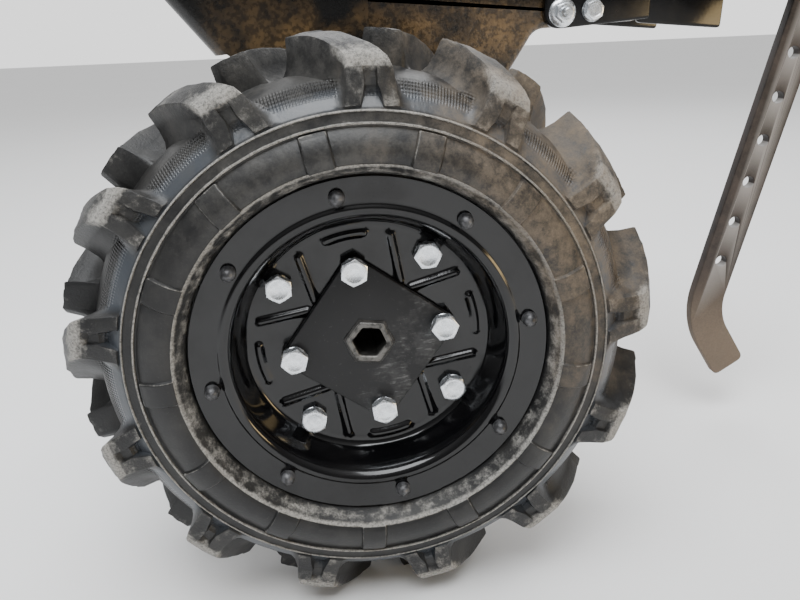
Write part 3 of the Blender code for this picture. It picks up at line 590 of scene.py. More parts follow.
@dataclass(frozen=True)
class TyreRubber(Finish):
    """Moulded rubber: smooth flanks with a painted sheen, a cross-hatched band, scuffed lugs and
    dried earth.
    """

    rubber: Colour = (0.0085, 0.0085, 0.0088)
    # Painted sheen: a bluish grey in the colour of the smooth flank band, standing in for its
    # highlight.
    sheen: Colour = (0.060, 0.068, 0.080)
    scuffed: Colour = (0.38, 0.365, 0.335)
    grey_dust: Colour = (0.090, 0.086, 0.078)
    earth: Colour = (0.195, 0.148, 0.100)
    earth_angle: float = math.radians(33.0)
    hatch_turns: float = 270.0
    hatch_rise: float = 1700.0

    def build(self, graph: Graph) -> bpy.types.Material:
        """Masks stored on the mesh say where the rubber is scuffed, hatched, or smooth with a
        painted bluish sheen in its colour; the earth lies on one quarter of the wheel, seen by its
        direction from the axle."""
        x, _, z = graph.axes(graph.place(shift=TO_AXLE))
        radius = (x * x + z * z) ** 0.5
        angle = z.math("ARCTAN2", x)
        toward = (x * math.cos(self.earth_angle) + z * math.sin(self.earth_angle)) / radius
        cloud = graph.noise(26.0, 6.0, 0.62)
        patch = graph.noise(85.0, 6.0, 0.75)
        grit = graph.noise(650.0, 3.0, 0.75)
        wear, knurl = graph.attribute("wear"), graph.attribute("knurl")
        sleek = graph.attribute("sleek")
        worn = (wear + patch * 1.3 - 1.02).step(0.0, 0.42) * wear.step(0.02, 0.3)
        worn = worn * (grit.step(0.30, 0.60) * 0.70 + 0.30)
        earth = (toward + cloud * 0.9 - 0.45).step(0.55, 1.12) * radius.step(0.1178, 0.122)
        earth = earth * (patch.step(0.30, 0.68) * 0.62 + grit.step(0.4, 0.7) * 0.18)
        above = (z / radius).step(0.35, 0.95)
        haze = (cloud.step(0.42, 0.72) * 0.22 + grit.step(0.55, 0.75) * 0.14
                + above * patch.step(0.38, 0.62) * 0.30)
        # The smooth flank band is mixed towards the painted sheen colour; grey dust lies over
        # everything.
        dusted = graph.mix(haze, graph.mix(sleek * 0.8, self.rubber, self.sheen), self.grey_dust)
        scuffed = graph.mix(worn * 0.85, dusted, self.scuffed)
        hatch = ((angle * self.hatch_turns + radius * self.hatch_rise).math("SINE")
                 * (angle * self.hatch_turns - radius * self.hatch_rise).math("SINE"))
        relief = (hatch * knurl * 0.45 + grit * (wear * 0.6 + 0.08)
                  + patch * wear * 0.9 + graph.noise(300.0, 3.0) * 0.14)
        return graph.finish(
            base_color=graph.mix(earth, scuffed, self.earth),
            roughness=0.40 + worn * 0.35 + earth * 0.4 + cloud * 0.12 - sleek * 0.16,
            specular_ior_level=0.42, normal=graph.bump(relief, 0.0012))


@dataclass(frozen=True)
class Metal(Finish):
    """Bare or plated metal with a mottled sheen, and edges that may be brighter."""

    colour: Colour = (0.62, 0.64, 0.66)
    dull: Colour = (0.40, 0.41, 0.42)
    roughness: float = 0.26
    metallic: float = 1.0
    grain: float = 0.00006
    scale: float = 260.0
    edge: Colour = (0.7, 0.7, 0.7)

    def build(self, graph: Graph) -> bpy.types.Material:
        """Noise mottles the colour and the roughness; the mesh's edge mask brightens it."""
        mottle = graph.noise(self.scale, 4.0, 0.6)
        fine = graph.noise(self.scale * 4.0, 2.0)
        bright = graph.attribute("edge") * mottle.step(0.30, 0.55)
        base = graph.mix(mottle.step(0.38, 0.66), self.dull, self.colour)
        return graph.finish(
            base_color=graph.mix(bright, base, self.edge),
            roughness=mottle * 0.18 + fine * 0.08 + (self.roughness - 0.12),
            metallic=self.metallic, normal=graph.bump(mottle + fine * 0.4, self.grain))


@dataclass(frozen=True)
class ScuffedPlate(Finish):
    """Thin black paint, rubbed and scratched on one side of the hub."""

    colour: Colour = (0.0065, 0.0065, 0.007)
    scratch: Colour = (0.20, 0.20, 0.20)

    def build(self, graph: Graph) -> bpy.types.Material:
        """Long thin noise, stretched across the plate, makes the scratches; they fade in on the
        rear half."""
        x, _, z = graph.axes(graph.place(shift=TO_AXLE))
        across = graph.place((90.0, 90.0, 520.0))
        turned_here = graph.node("ShaderNodeVectorRotate", {"rotation_type": "Y_AXIS"},
                                 {"Vector": across, "Angle": math.radians(-32.0)})
        lines = graph.noise(1.0, 4.0, 0.7, turned_here).step(0.50, 0.68)
        cloud = graph.noise(60.0, 5.0, 0.65)
        rear = (x * 30.0 - z * 14.0 + cloud * 1.6 - 0.95).step(0.0, 0.9)
        rubbed = rear * cloud.step(0.42, 0.62) * (lines * 0.6 + 0.16)
        specks = graph.noise(500.0, 2.0).step(0.66, 0.74) * 0.14
        return graph.finish(
            base_color=graph.mix(rubbed * 0.85 + specks, self.colour, self.scratch),
            roughness=0.32 + rubbed * 0.3 + cloud * 0.15, specular_ior_level=0.35,
            normal=graph.bump(cloud + lines * rear * 0.5, 0.00012))


@dataclass(frozen=True)
class DustySteel(Finish):
    """Dark flat bar under dust, with dried earth on its foot and lightened lower rims on its
    holes.
    """

    steel: Colour = (0.010, 0.008, 0.008)
    dust: Colour = (0.066, 0.050, 0.042)
    earth: Colour = (0.20, 0.155, 0.115)
    earth_top: float = 0.175
    earth_low: float = 0.085

    def build(self, graph: Graph) -> bpy.types.Material:
        """Height sets the earth, and the mesh's edge mask lightens the lower rims of the holes."""
        z = graph.axes(graph.place())[2]
        cloud = graph.noise(38.0, 6.0, 0.65)
        grit = graph.noise(520.0, 3.0, 0.7)
        streak = graph.noise(1.0, 4.0, 0.6, graph.place((180.0, 180.0, 30.0)))
        dust = (cloud.step(0.32, 0.66) * 0.72 + grit.step(0.45, 0.7) * 0.18
                + streak.step(0.5, 0.75) * 0.25)
        earth = (z + cloud * 0.05 - 0.025).step(self.earth_top, self.earth_low)
        # The edge mask lightens the lower rims of the holes towards a pale grey.
        rim = graph.attribute("edge")
        painted = graph.mix(dust, self.steel, self.dust)
        soiled = graph.mix(earth * (grit * 0.5 + 0.45), painted, self.earth)
        return graph.finish(
            base_color=graph.mix(rim * 0.6, soiled, (0.42, 0.40, 0.38)),
            roughness=0.42 + dust * 0.3 + earth * 0.25, specular_ior_level=0.35,
            normal=graph.bump(grit * (earth * 0.7 + 0.25) + cloud * 0.4, 0.0006))


@dataclass(frozen=True)
class PaleFloor(Finish):
    """The studio floor: pale, matt and nearly even."""

    colour: Colour = (0.90, 0.90, 0.90)

    def build(self, graph: Graph) -> bpy.types.Material:
        """Very faint broad noise in the colour."""
        cloud = graph.noise(1.5, 3.0)
        return graph.finish(base_color=graph.mix(cloud, self.colour, (0.86, 0.86, 0.86)),
                            roughness=0.9)


TYRE = TyreRubber("tyre rubber")
GLOSS = Paint("gloss black paint")
RIM_PAINT = Paint("rim black paint", roughness=0.11, dusty=0.02, coat=0.40)
CAST = Casting("cast black")
# The guard's dust colour is a painted reflection of the brown floor on its lower front.
GUARD = Casting("guard black paint", dust=(0.20, 0.125, 0.052), grain=0.00025, soil_high=0.60,
                soil_low=0.46, soil_front=-0.262)
SCUFFED = ScuffedPlate("scuffed black plate")
STUD = Metal("stud grey", (0.12, 0.12, 0.125), (0.035, 0.035, 0.037), 0.42, 0.35)
ZINC = Metal("zinc plate", (0.88, 0.91, 0.94), (0.70, 0.73, 0.76), 0.27, 0.85, 0.00004, 300.0)
TUBE_STEEL = Metal("worn tube steel", (0.05, 0.048, 0.046), (0.016, 0.015, 0.014), 0.42, 0.4,
                   0.0002, 190.0, (0.30, 0.29, 0.27))
BARE = Metal("bare steel", (0.34, 0.33, 0.31), (0.18, 0.165, 0.15), 0.36)
GEAR_STEEL = Metal("gear steel", (0.50, 0.50, 0.51), (0.36, 0.36, 0.37), 0.28)
BRASS = Metal("brass", (0.66, 0.50, 0.20), (0.45, 0.33, 0.13), 0.34)
SEAL = Metal("seal rubber", (0.030, 0.026, 0.026), (0.018, 0.016, 0.016), 0.55, 0.0)
TUBE_RUBBER = Metal("tube rubber", (0.026, 0.026, 0.026), (0.018, 0.018, 0.018), 0.6, 0.0)
STAKE_STEEL = DustySteel("dusty stake steel")


# Pieces --------------------------------------------------------------------------------------
def in_scene(name: str, data: bpy.types.ID) -> bpy.types.Object:
    """A new object, linked to the scene."""
    made = bpy.data.objects.new(name, data)
    bpy.context.scene.collection.objects.link(made)
    return made


def corners_of(mesh: bpy.types.Mesh) -> Array:
    """The places of a mesh's vertices, as vertices x 3."""
    points = np.zeros(len(mesh.vertices) * 3, np.float32)
    mesh.vertices.foreach_get("co", points)
    return points.reshape(-1, 3)


def applied(thing: bpy.types.Object) -> bpy.types.Mesh:
    """The evaluated mesh of an object, which is removed."""
    bpy.context.view_layer.update()
    evaluated = thing.evaluated_get(bpy.context.evaluated_depsgraph_get())
    mesh = bpy.data.meshes.new_from_object(evaluated)
    bpy.data.objects.remove(thing, do_unlink=True)
    return mesh


def pierced(mesh: bpy.types.Mesh, cutter: Shell) -> bpy.types.Mesh:
    """A mesh with holes cut by the closed forms of a shell.

    Args:
        mesh: what is cut.
        cutter: closed forms that don't overlap each other.

    Returns:
        The cut mesh.
    """
    body = in_scene("body", mesh)
    tool = in_scene("tool", cutter.mesh("tool"))
    cut = body.modifiers.new("cut", "BOOLEAN")
    cut.operation, cut.solver, cut.object = "DIFFERENCE", "EXACT", tool
    result = applied(body)
    bpy.data.objects.remove(tool, do_unlink=True)
    return result


@dataclass(frozen=True)
class Piece:
    """A visible piece: its name, finish, body, material slot (not used) and the CAD nodes that it
    shows.
    """

    name: str
    finish: Finish
    body: str
    slot: str
    replaces: tuple[str, ...] = ()
    crease: float = math.radians(32.0)

    def make(self, shape: Shell | bpy.types.Mesh) -> bpy.types.Object:
        """Puts the piece in the scene.

        Args:
            shape: its shell or its finished mesh, in world metres.

        Returns:
            The object, which sits at the origin.
        """
        mesh = shape.mesh(self.name) if isinstance(shape, Shell) else shape
        mesh.name = self.name
        mesh.shade_smooth()
        mesh.set_sharp_from_angle(angle=self.crease)
        mesh.materials.clear()
        mesh.materials.append(self.finish.material())
        made = in_scene(self.name, mesh)
        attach(made, self.body)
        if self.replaces:
            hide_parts(*self.replaces)
        LOG.info("%s: %d faces", self.name, len(mesh.polygons))
        return made


def carried(finish: Finish, *nodes: str) -> None:
    """Gives CAD nodes that stay in view a procedural finish.

    Args:
        finish: the finish.
        nodes: the nodes' names.
    """
    for node in nodes:
        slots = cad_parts[node].data.materials
        slots.clear()
        slots.append(finish.material())
        LOG.info("%s: kept as built", node)


# Wheels --------------------------------------------------------------------------------------
@dataclass
class Tyre:
    """A bar-tread tyre. Its surface is a grid: rows run along the section from bead to bead and
    back inside, columns run round. Each point lies between a base surface and a lug surface, and
    a height table says how far."""

    lugs: int = 13
    phase: float = math.radians(31.8)
    sweep: float = math.radians(11.5)
    shoulder: float = 0.043
    roughness: float = 0.0006

    # base across, base radius, top across, top radius, half width on top, pocket half width,
    # pocket height, height of this side's lug, height of the other side's, scuffing, hatching
    CROWN = (
        (0.0000, 0.1780, 0.0000, 0.2000, 8.5, 4.0, 1.0, 1.0, 1.0, 0.34, 0.0),
        (0.0030, 0.1780, 0.0040, 0.2000, 8.6, 4.0, 1.0, 1.0, 1.0, 0.34, 0.0),
        (0.0038, 0.1779, 0.0048, 0.1994, 8.7, 4.0, 1.0, 1.0, 0.9, 0.34, 0.0),
        (0.0056, 0.1778, 0.0062, 0.1992, 8.8, 4.0, 1.0, 1.0, 0.06, 0.34, 0.0),
        (0.0085, 0.1775, 0.0100, 0.1988, 8.9, 4.0, 1.0, 1.0, 0.0, 0.34, 0.0),
        (0.0130, 0.1767, 0.0150, 0.1980, 9.2, 4.2, 1.0, 1.0, 0.0, 0.34, 0.0),
        (0.0175, 0.1755, 0.0200, 0.1962, 9.6, 4.3, 1.0, 1.0, 0.0, 0.34, 0.0),
        (0.0215, 0.1742, 0.0250, 0.1943, 10.0, 4.4, 1.0, 1.0, 0.0, 0.34, 0.0),
        (0.0245, 0.1730, 0.0300, 0.1918, 10.5, 4.5, 1.0, 1.0, 0.0, 0.45, 0.1),
        (0.0262, 0.1720, 0.0345, 0.1892, 11.0, 4.5, 1.0, 1.0, 0.0, 0.6, 0.6),
        (0.0275, 0.1712, 0.0377, 0.1868, 11.4, 4.3, 1.0, 1.0, 0.0, 0.9, 1.0),
        (0.0284, 0.1706, 0.0392, 0.1852, 11.7, 4.2, 1.0, 1.0, 0.0, 0.9, 1.0),
        (0.0292, 0.1700, 0.0400, 0.1836, 11.9, 4.1, 1.0, 1.0, 0.0, 0.95, 1.0),
        (0.0303, 0.1693, 0.0405, 0.1818, 12.2, 4.0, 1.0, 1.0, 0.0, 0.75, 1.0),
        (0.0317, 0.1683, 0.0410, 0.1799, 12.6, 4.0, 1.0, 1.0, 0.0, 0.6, 1.0),
        (0.0321, 0.1680, 0.0411, 0.1791, 12.7, 4.0, 0.74, 1.0, 0.0, 0.45, 1.0),
        (0.0342, 0.1664, 0.0417, 0.1750, 13.1, 3.8, 0.72, 1.0, 0.0, 0.4, 1.0),
        (0.0360, 0.1649, 0.0421, 0.1706, 13.6, 3.7, 0.70, 1.0, 0.0, 0.4, 0.9),
        (0.0364, 0.1645, 0.0422, 0.1697, 13.7, 3.8, 0.05, 1.0, 0.0, 0.35, 0.5),
        (0.0385, 0.1622, 0.0427, 0.1655, 14.4, 5.0, 0.02, 1.0, 0.0, 0.35, 0.0),
        (0.0405, 0.1596, 0.0432, 0.1612, 15.0, 6.2, 0.0, 1.0, 0.0, 0.4, 0.0),
        (0.0420, 0.1576, 0.0437, 0.1583, 15.5, 7.0, 0.0, 1.0, 0.0, 0.45, 0.0),
    )
    # across, radius, scuffing, height of the sidewall bars
    FLANK = (
        (0.0424, 0.1570, 0.0, 0.0), (0.0425, 0.1564, 0.1, 0.0), (0.0438, 0.1561, 0.9, 0.0),
        (0.0444, 0.1554, 1.0, 0.0), (0.0436, 0.1545, 0.25, 0.0), (0.0439, 0.1520, 0.18, 0.0),
        (0.0445, 0.1495, 0.28, 0.0), (0.0457, 0.1488, 1.0, 0.0), (0.0456, 0.1480, 1.0, 0.0),
        (0.0440, 0.1474, 0.25, 0.0), (0.0441, 0.1466, 0.0, 0.0), (0.0446, 0.1458, 0.02, 0.75),
        (0.0462, 0.1435, 0.03, 1.0), (0.0479, 0.1405, 0.03, 1.0), (0.0494, 0.1370, 0.03, 1.0),
        (0.0503, 0.1335, 0.03, 1.0), (0.0504, 0.1308, 0.03, 1.0), (0.0500, 0.1287, 0.03, 1.0),
        (0.0494, 0.1270, 0.03, 1.0), (0.0489, 0.1262, 0.05, 0.9), (0.0484, 0.1254, 0.95, 0.1),
        (0.0477, 0.1246, 0.80, 0.0), (0.0458, 0.1230, 0.45, 0.0), (0.0428, 0.1209, 0.50, 0.0),
        (0.0394, 0.1190, 0.45, 0.0), (0.0362, 0.1179, 0.30, 0.0), (0.0337, 0.1176, 0.1, 0.0),
        (0.0337, 0.1140, 0.0, 0.0), (0.0337, 0.1106, 0.0, 0.0), (0.0304, 0.1106, 0.0, 0.0),
        (0.0304, 0.1022, 0.0, 0.0),
    )
    INSIDE = ((0.0230, 0.1022), (0.0270, 0.1160), (0.0360, 0.1280), (0.0435, 0.1400),
              (0.0380, 0.1530), (0.0220, 0.1635), (0.0, 0.1660))
    FLANKS_MM = (-0.7, 0.0, 1.7, 4.3, 7.4)      # from a lug's top edge out to its foot
    FLANK_HEIGHTS = (1.0, 0.95, 0.50, 0.17, 0.0)
    BAR_MM = (0.0, 3.5, 6.0, 7.2, 7.8, 9.0, 10.5, 12.5)
    BAR_HEIGHTS = (1.0, 1.0, 1.0, 1.0, 0.75, 0.0, 0.0, 0.0)
    BAR_RISE = 0.0022

    def _half_columns(self, top: Array, pocket: Array) -> Array:
        """Distances in millimetres from a lug's middle to its columns, for each row: the middle,
        the pocket's floor, the pocket's edge, and then the flank out to the foot."""
        flank = top[:, None] + np.array(self.FLANKS_MM)
        return np.column_stack([np.zeros(len(top)), pocket - 0.8, pocket, flank])

    def _heights(self, lug: Array, pocket: Array) -> Array:
        """Heights at those columns: the pocket's own in its floor, and the flank's table."""
        rise = np.column_stack([np.minimum(pocket, 1.0)] * 2 + [np.ones(len(lug))]
                               + [np.full(len(lug), h) for h in self.FLANK_HEIGHTS])
        return rise * lug[:, None]

    def _lay_out(self, own: Array, other: Array, pitch: Array) -> Array:
        """Columns round one pitch: this row's lug, a gap, the other row's lug and a gap.

        Args:
            own: half columns of the lug at the pitch's start, rows x 8.
            other: half columns of the lug at its middle, rows x 8.
            pitch: the pitch's length in millimetres, for each row.

        Returns:
            Places in millimetres, in order, rows x columns.
        """
        half = pitch[:, None] / 2
        start, end = own[:, -1:], half - other[:, -1:]
        gap = [start + (end - start) * t for t in (0.3, 0.6)]
        first = np.hstack([own, *gap, half - other[:, ::-1]])
        return np.hstack([first, pitch[:, None] - first[:, -2:0:-1]])

    def _side(self, sign: int) -> tuple[Array, Array]:
        """Half of the outside, from the crown to the bead.

        Args:
            sign: 1 for the outboard half, -1 for the inboard one.

        Returns:
            Points (rows x columns x 3) and the three masks (rows x columns x 3).
        """
        crown, flank = np.array(self.CROWN), np.array(self.FLANK)
        base = np.vstack([crown[:, :2], flank[:, :2]])
        slope = np.gradient(flank[:, :2], axis=0)
        outward = np.stack([-slope[:, 1], slope[:, 0]], 1)
        outward /= np.linalg.norm(outward, axis=1, keepdims=True)
        top = np.vstack([crown[:, 2:4], flank[:, :2] + outward * self.BAR_RISE])
        rows, steps = len(base), len(flank)
        wide = np.concatenate([crown[:, 4], np.linspace(15.6, 9.0, steps)])
        inner = np.concatenate([crown[:, 5], np.linspace(7.0, 4.0, steps)])
        own_at = self._half_columns(wide, inner)
        bars = np.tile(np.array(self.BAR_MM), (rows, 1))
        share = smooth(0.008, 0.030, base[:, 0])[:, None]
        other_at = own_at * (1 - share) + bars * share
        pitch = TURN * base[:, 1] / self.lugs * 1000.0
        own_h = self._heights(np.concatenate([crown[:, 7], np.zeros(steps)]),
                              np.concatenate([crown[:, 6], np.ones(steps)]))
        crown_h = self._heights(np.concatenate([crown[:, 8], np.zeros(steps)]), np.ones(rows))
        bar_h = np.outer(np.concatenate([np.zeros(len(crown)), flank[:, 3]]), self.BAR_HEIGHTS)
        other_h = crown_h + bar_h
        near, far = (own_at, other_at) if sign > 0 else (other_at, own_at)
        near_h, far_h = (own_h, other_h) if sign > 0 else (other_h, own_h)
        place = self._lay_out(near, far, pitch)
        none = np.zeros((rows, 2))
        first = np.hstack([near_h, none, far_h[:, ::-1]])
        height = np.hstack([first, first[:, -2:0:-1]])
        return self._points(sign, base, top, place, pitch, height, crown, flank)

    def _points(self, sign: int, base: Array, top: Array, place: Array, pitch: Array,
                height: Array, crown: Array, flank: Array) -> tuple[Array, Array]:
        """Turns places and heights into points: (radius cos a, radius sin a, across), where
        across and radius go from base to top with the height, and a is the place as an angle
        plus the sweep of the lugs.

        Returns:
            Points and masks, as for a side.
        """
        angle = self.phase + place / pitch[:, None] * TURN / self.lugs
        angle = angle + self.sweep * np.clip(1.0 - top[:, :1] / self.shoulder, 0.0, 1.0)
        turns = np.arange(self.lugs) * TURN / self.lugs
        angle = (angle[:, None, :] + turns[None, :, None]).reshape(len(base), -1)
        height = np.tile(height, (1, self.lugs))
        across = base[:, :1] + (top[:, :1] - base[:, :1]) * height
        radius = base[:, 1:] + (top[:, 1:] - base[:, 1:]) * height
        x, y = radius * np.cos(angle), radius * np.sin(angle)
        rough = ripple(3, x, y, across * sign) * self.roughness
        on_crown = (np.arange(len(base)) < len(crown))[:, None]
        raised = np.where(on_crown, height, 0.0)
        rough = rough * (0.15 + raised)
        scuffs = np.concatenate([crown[:, 9], flank[:, 2]])[:, None]
        rubbed = scuffs + 2.6 * np.clip(height, 0.0, 1.0) * (1.0 - np.clip(height, 0.0, 1.0))
        wear = np.where(on_crown, scuffs * smooth(0.45, 0.9, height), rubbed)
        hatch = np.concatenate([crown[:, 10], np.zeros(len(flank))])[:, None]
        knurl = hatch * (1.0 - smooth(0.02, 0.2, height))
        # The smooth band below the knurl: its mask lowers the roughness and paints a bluish sheen
        # into the colour.
        band = smooth(0.155, 0.158, base[:, 1:]) * (1.0 - smooth(0.1655, 0.1675, base[:, 1:]))
        sleek = band * (1.0 - smooth(0.05, 0.3, height))
        points = np.stack([x * (1 + rough / radius), y * (1 + rough / radius),
                           sign * across], -1)
        return points, np.stack([wear, knurl, sleek], -1)

    def shell(self) -> Shell:
        """The whole tyre as one closed grid: outboard bead to crown to inboard bead, then back
        along the inside.

        Returns:
            A shell in the wheel's frame.
        """
        outboard, outboard_masks = self._side(1)
        inboard, inboard_masks = self._side(-1)
        inside = np.array(self.INSIDE)
        inside = np.vstack([inside * (-1, 1), inside[-2::-1]])
        columns = outboard.shape[1]
        angle = np.arctan2(outboard[0, :, 1], outboard[0, :, 0])
        inner = np.stack([inside[:, 1:] * np.cos(angle), inside[:, 1:] * np.sin(angle),
                          np.broadcast_to(inside[:, :1], (len(inside), columns))], -1)
        points = np.concatenate([outboard[::-1], inboard[1:], inner])
        masks = np.concatenate([outboard_masks[::-1], inboard_masks[1:],
                                np.zeros(inner.shape[:2] + (3,))])
        return Shell().grid(points, (True, True), wear=masks[..., 0], knurl=masks[..., 1],
                            sleek=masks[..., 2])

    def build(self) -> None:
        """Both tyres; the far one is the near one moved across, so both treads point one way."""
        for side in Side:
            at = np.array([AXLE[0], side.value * HALF_TRACK, AXLE[2]])
            node = f"tyre_{side.label}"
            Piece(node + "_tread", TYRE, "wheelset", "tyre", (node,), math.radians(38.0)).make(
                self.shell().moved(Placing(sideways(-1.0), at)))


@dataclass
class Rim:
    """A pressed dish with ribs, bolted into a drum that carries the inner flange."""

    sheet: float = 0.003
    disc: float = 0.009
    bore: float = 0.0185
    corner_phase: float = math.radians(8.5)
    rib_height: float = 0.0023
    rib_radius: float = 0.0037
    leg_inner: float = 0.046
    leg_outer: float = 0.0745
    arc_middle: float = math.radians(1.0)
    arc_half: float = math.radians(10.0)
    disc_radius: float = 0.0765
    disc_steps: int = 52
    rear_limit: float = 0.0337
    columns: int = 416
    drum_columns: int = 208
    LEGS = ((40.0, 26.5), (-39.0, -22.5))   # degrees from a corner, at a leg's two ends
    WALL = ((0.0090, 0.0775), (0.0091, 0.0795), (0.0096, 0.0814), (0.0106, 0.0829),
            (0.0121, 0.0841), (0.0160, 0.0854), (0.0220, 0.0871), (0.0275, 0.0887),
            (0.0310, 0.0900), (0.0335, 0.0911), (0.0352, 0.0924), (0.0363, 0.0938),
            (0.0369, 0.0953), (0.0371, 0.0967), (0.0368, 0.0979), (0.0361, 0.0988),
            (0.0358, 0.0998), (0.0360, 0.1012), (0.0363, 0.1060), (0.0366, 0.1120),
            (0.0370, 0.1155), (0.0370, 0.1166), (0.0364, 0.1170))
    DRUM = ((-0.0370, 0.1166), (-0.0370, 0.1000), (-0.0364, 0.0988), (-0.0350, 0.0986),
            (-0.0120, 0.0986), (0.0004, 0.0984), (0.0018, 0.0978), (0.0026, 0.0966),
            (0.0027, 0.0950), (0.0027, 0.0640), (0.0030, 0.0634), (0.0052, 0.0634),
            (0.0057, 0.0640), (0.0057, 0.0984), (0.0337, 0.0986), (0.0337, 0.1100),
            (0.0307, 0.1100), (0.0307, 0.1028), (0.0300, 0.1016), (-0.0320, 0.1016),
            (-0.0334, 0.1024), (-0.0340, 0.1040), (-0.0340, 0.1166), (-0.0355, 0.1171))

    def _ribs(self, x: Array, y: Array) -> Array:
        """Heights of the pressed ribs: at each corner of the hub plate, two straight legs beside
        it and a short arc outside it."""
        total = np.zeros_like(x)
        for corner in range(4):
            middle = self.corner_phase + corner * TURN / 4
            for inner, outer in self.LEGS:
                a, b = middle + math.radians(inner), middle + math.radians(outer)
                ends = [(r * math.cos(t), r * math.sin(t))
                        for r, t in ((self.leg_inner, a), (self.leg_outer, b))]
                total = np.maximum(total, capsule(x, y, *ends, self.rib_radius))
            radius, angle = np.hypot(x, y), np.arctan2(y, x)
            off = (angle - middle - self.arc_middle + math.pi) % TURN - math.pi
            beyond = np.maximum(np.abs(off) - self.arc_half, 0.0) * radius
            distance = np.hypot(radius - self.leg_outer, beyond)
            total = np.maximum(total, 1.0 - smooth(0.0006, self.rib_radius, distance))
        return total * self.rib_height

    def dish(self) -> Shell:
        """The dish as a closed ring: the face outward from the bore, and back along the rear.
        On the disc the ribs' height is added across.

        Returns:
            A shell in the wheel's frame.
        """
        radii = np.linspace(self.bore, self.disc_radius, self.disc_steps)
        face = np.vstack([np.column_stack([np.full_like(radii, self.disc), radii]), self.WALL])
        slope = np.gradient(face, axis=0)
        normal = np.stack([slope[:, 1], -slope[:, 0]], 1)
        normal /= np.linalg.norm(normal, axis=1, keepdims=True)
        rear = face - normal * self.sheet
        rear[:, 0] = np.minimum(rear[:, 0], self.rear_limit)
        points = turned(np.vstack([face, rear[::-1]]), self.columns)
        points[..., 2] += self._ribs(points[..., 0], points[..., 1])
        return Shell().grid(points, (True, True))

    def drum(self) -> Shell:
        """The drum's closed profile, turned.

        Returns:
            A shell in the wheel's frame.
        """
        return Shell().grid(turned(self.DRUM, self.drum_columns), (True, True))

    def build(self, side: Side) -> None:
        """The dish and the drum of one wheel."""
        place, label = wheel_place(side), side.label
        Piece(f"rim_dish_{label}_pressing", RIM_PAINT, "wheelset", "gloss_black",
              (f"rim_dish_{label}",)).make(self.dish().moved(place))
        Piece(f"rim_drum_{label}_pressing", RIM_PAINT, "wheelset", "gloss_black",
              (f"rim_drum_{label}",)).make(self.drum().moved(place))


@dataclass
class Bolt:
    """A hexagon bolt with a chamfered head, a washer, a shank and its nut."""

    across: float = 0.0165
    head: float = 0.0064
    shank: float = 0.005
    washer: float = 0.0085
    washer_thick: float = 0.0012
    columns: int = 72
    cone: float = math.radians(30.0)
    broken: float = 0.0003
    dimple: float = 0.00025
    groove: float = 0.0005
    thread_end: float = 0.004

    def hex_cap(self, shell: Shell, low: float, high: float, turn: float) -> None:
        """A hexagonal prism whose top is cut by a cone: the side's height falls with the
        distance beyond the crown circle times the tangent of 30 degrees.

        Args:
            shell: where it is added.
            low: the seat.
            high: the top; below low for a nut that faces the other way.
            turn: direction of a corner.
        """
        angle = np.arange(self.columns) * TURN / self.columns + turn
        edge = hexagon(angle, self.across, turn)
        crown = self.across / 2 * 0.94
        sign = math.copysign(1.0, high - low)
        drop = (edge - crown) * math.tan(self.cone)
        flat = np.ones(self.columns)
        sunk = (high - sign * self.dimple) * flat
        rows = [(0.0 * flat, low * flat), (edge - self.broken, low * flat),
                (edge, (low + sign * self.broken) * flat), (edge, high - sign * drop),
                (crown * flat, high * flat), (crown * 0.80 * flat, high * flat),
                (crown * 0.74 * flat, sunk), (0.0 * flat, sunk)]
        radius, height = (np.array(part) for part in zip(*rows))
        shell.grid(np.stack([radius * np.cos(angle), radius * np.sin(angle), height], -1),
                   (False, True))

    def shell(self, seat: float, back: float, turn: float) -> Shell:
        """The whole fastener along z.

        Args:
            seat: the height of the face under the washer.
            back: the height of the face before the nut.
            turn: direction of a corner of the head.

        Returns:
            A shell of closed forms that pass into each other.
        """
        shell = Shell()
        w, t = self.washer, self.washer_thick
        shell.grid(turned([(seat, 0.0), (seat, w - 0.0002), (seat + 0.0002, w),
                           (seat + t - 0.0003, w), (seat + t, w - 0.0003), (seat + t, 0.0)], 48),
                   (False, True))
        self.hex_cap(shell, seat + t, seat + t + self.head, turn)
        self.hex_cap(shell, back, back - self.head, turn)
        end = back - self.head - self.thread_end
        thread = np.linspace(end + 0.0008, back - self.head, 15)
        grooves = self.shank - self.groove * (np.arange(15) % 2)
        rows = [(end, 0.0), (end, self.shank - 0.001), *zip(thread, grooves),
                (seat + t, self.shank), (seat + t, 0.0)]
        return shell.grid(turned(rows, 32), (False, True))


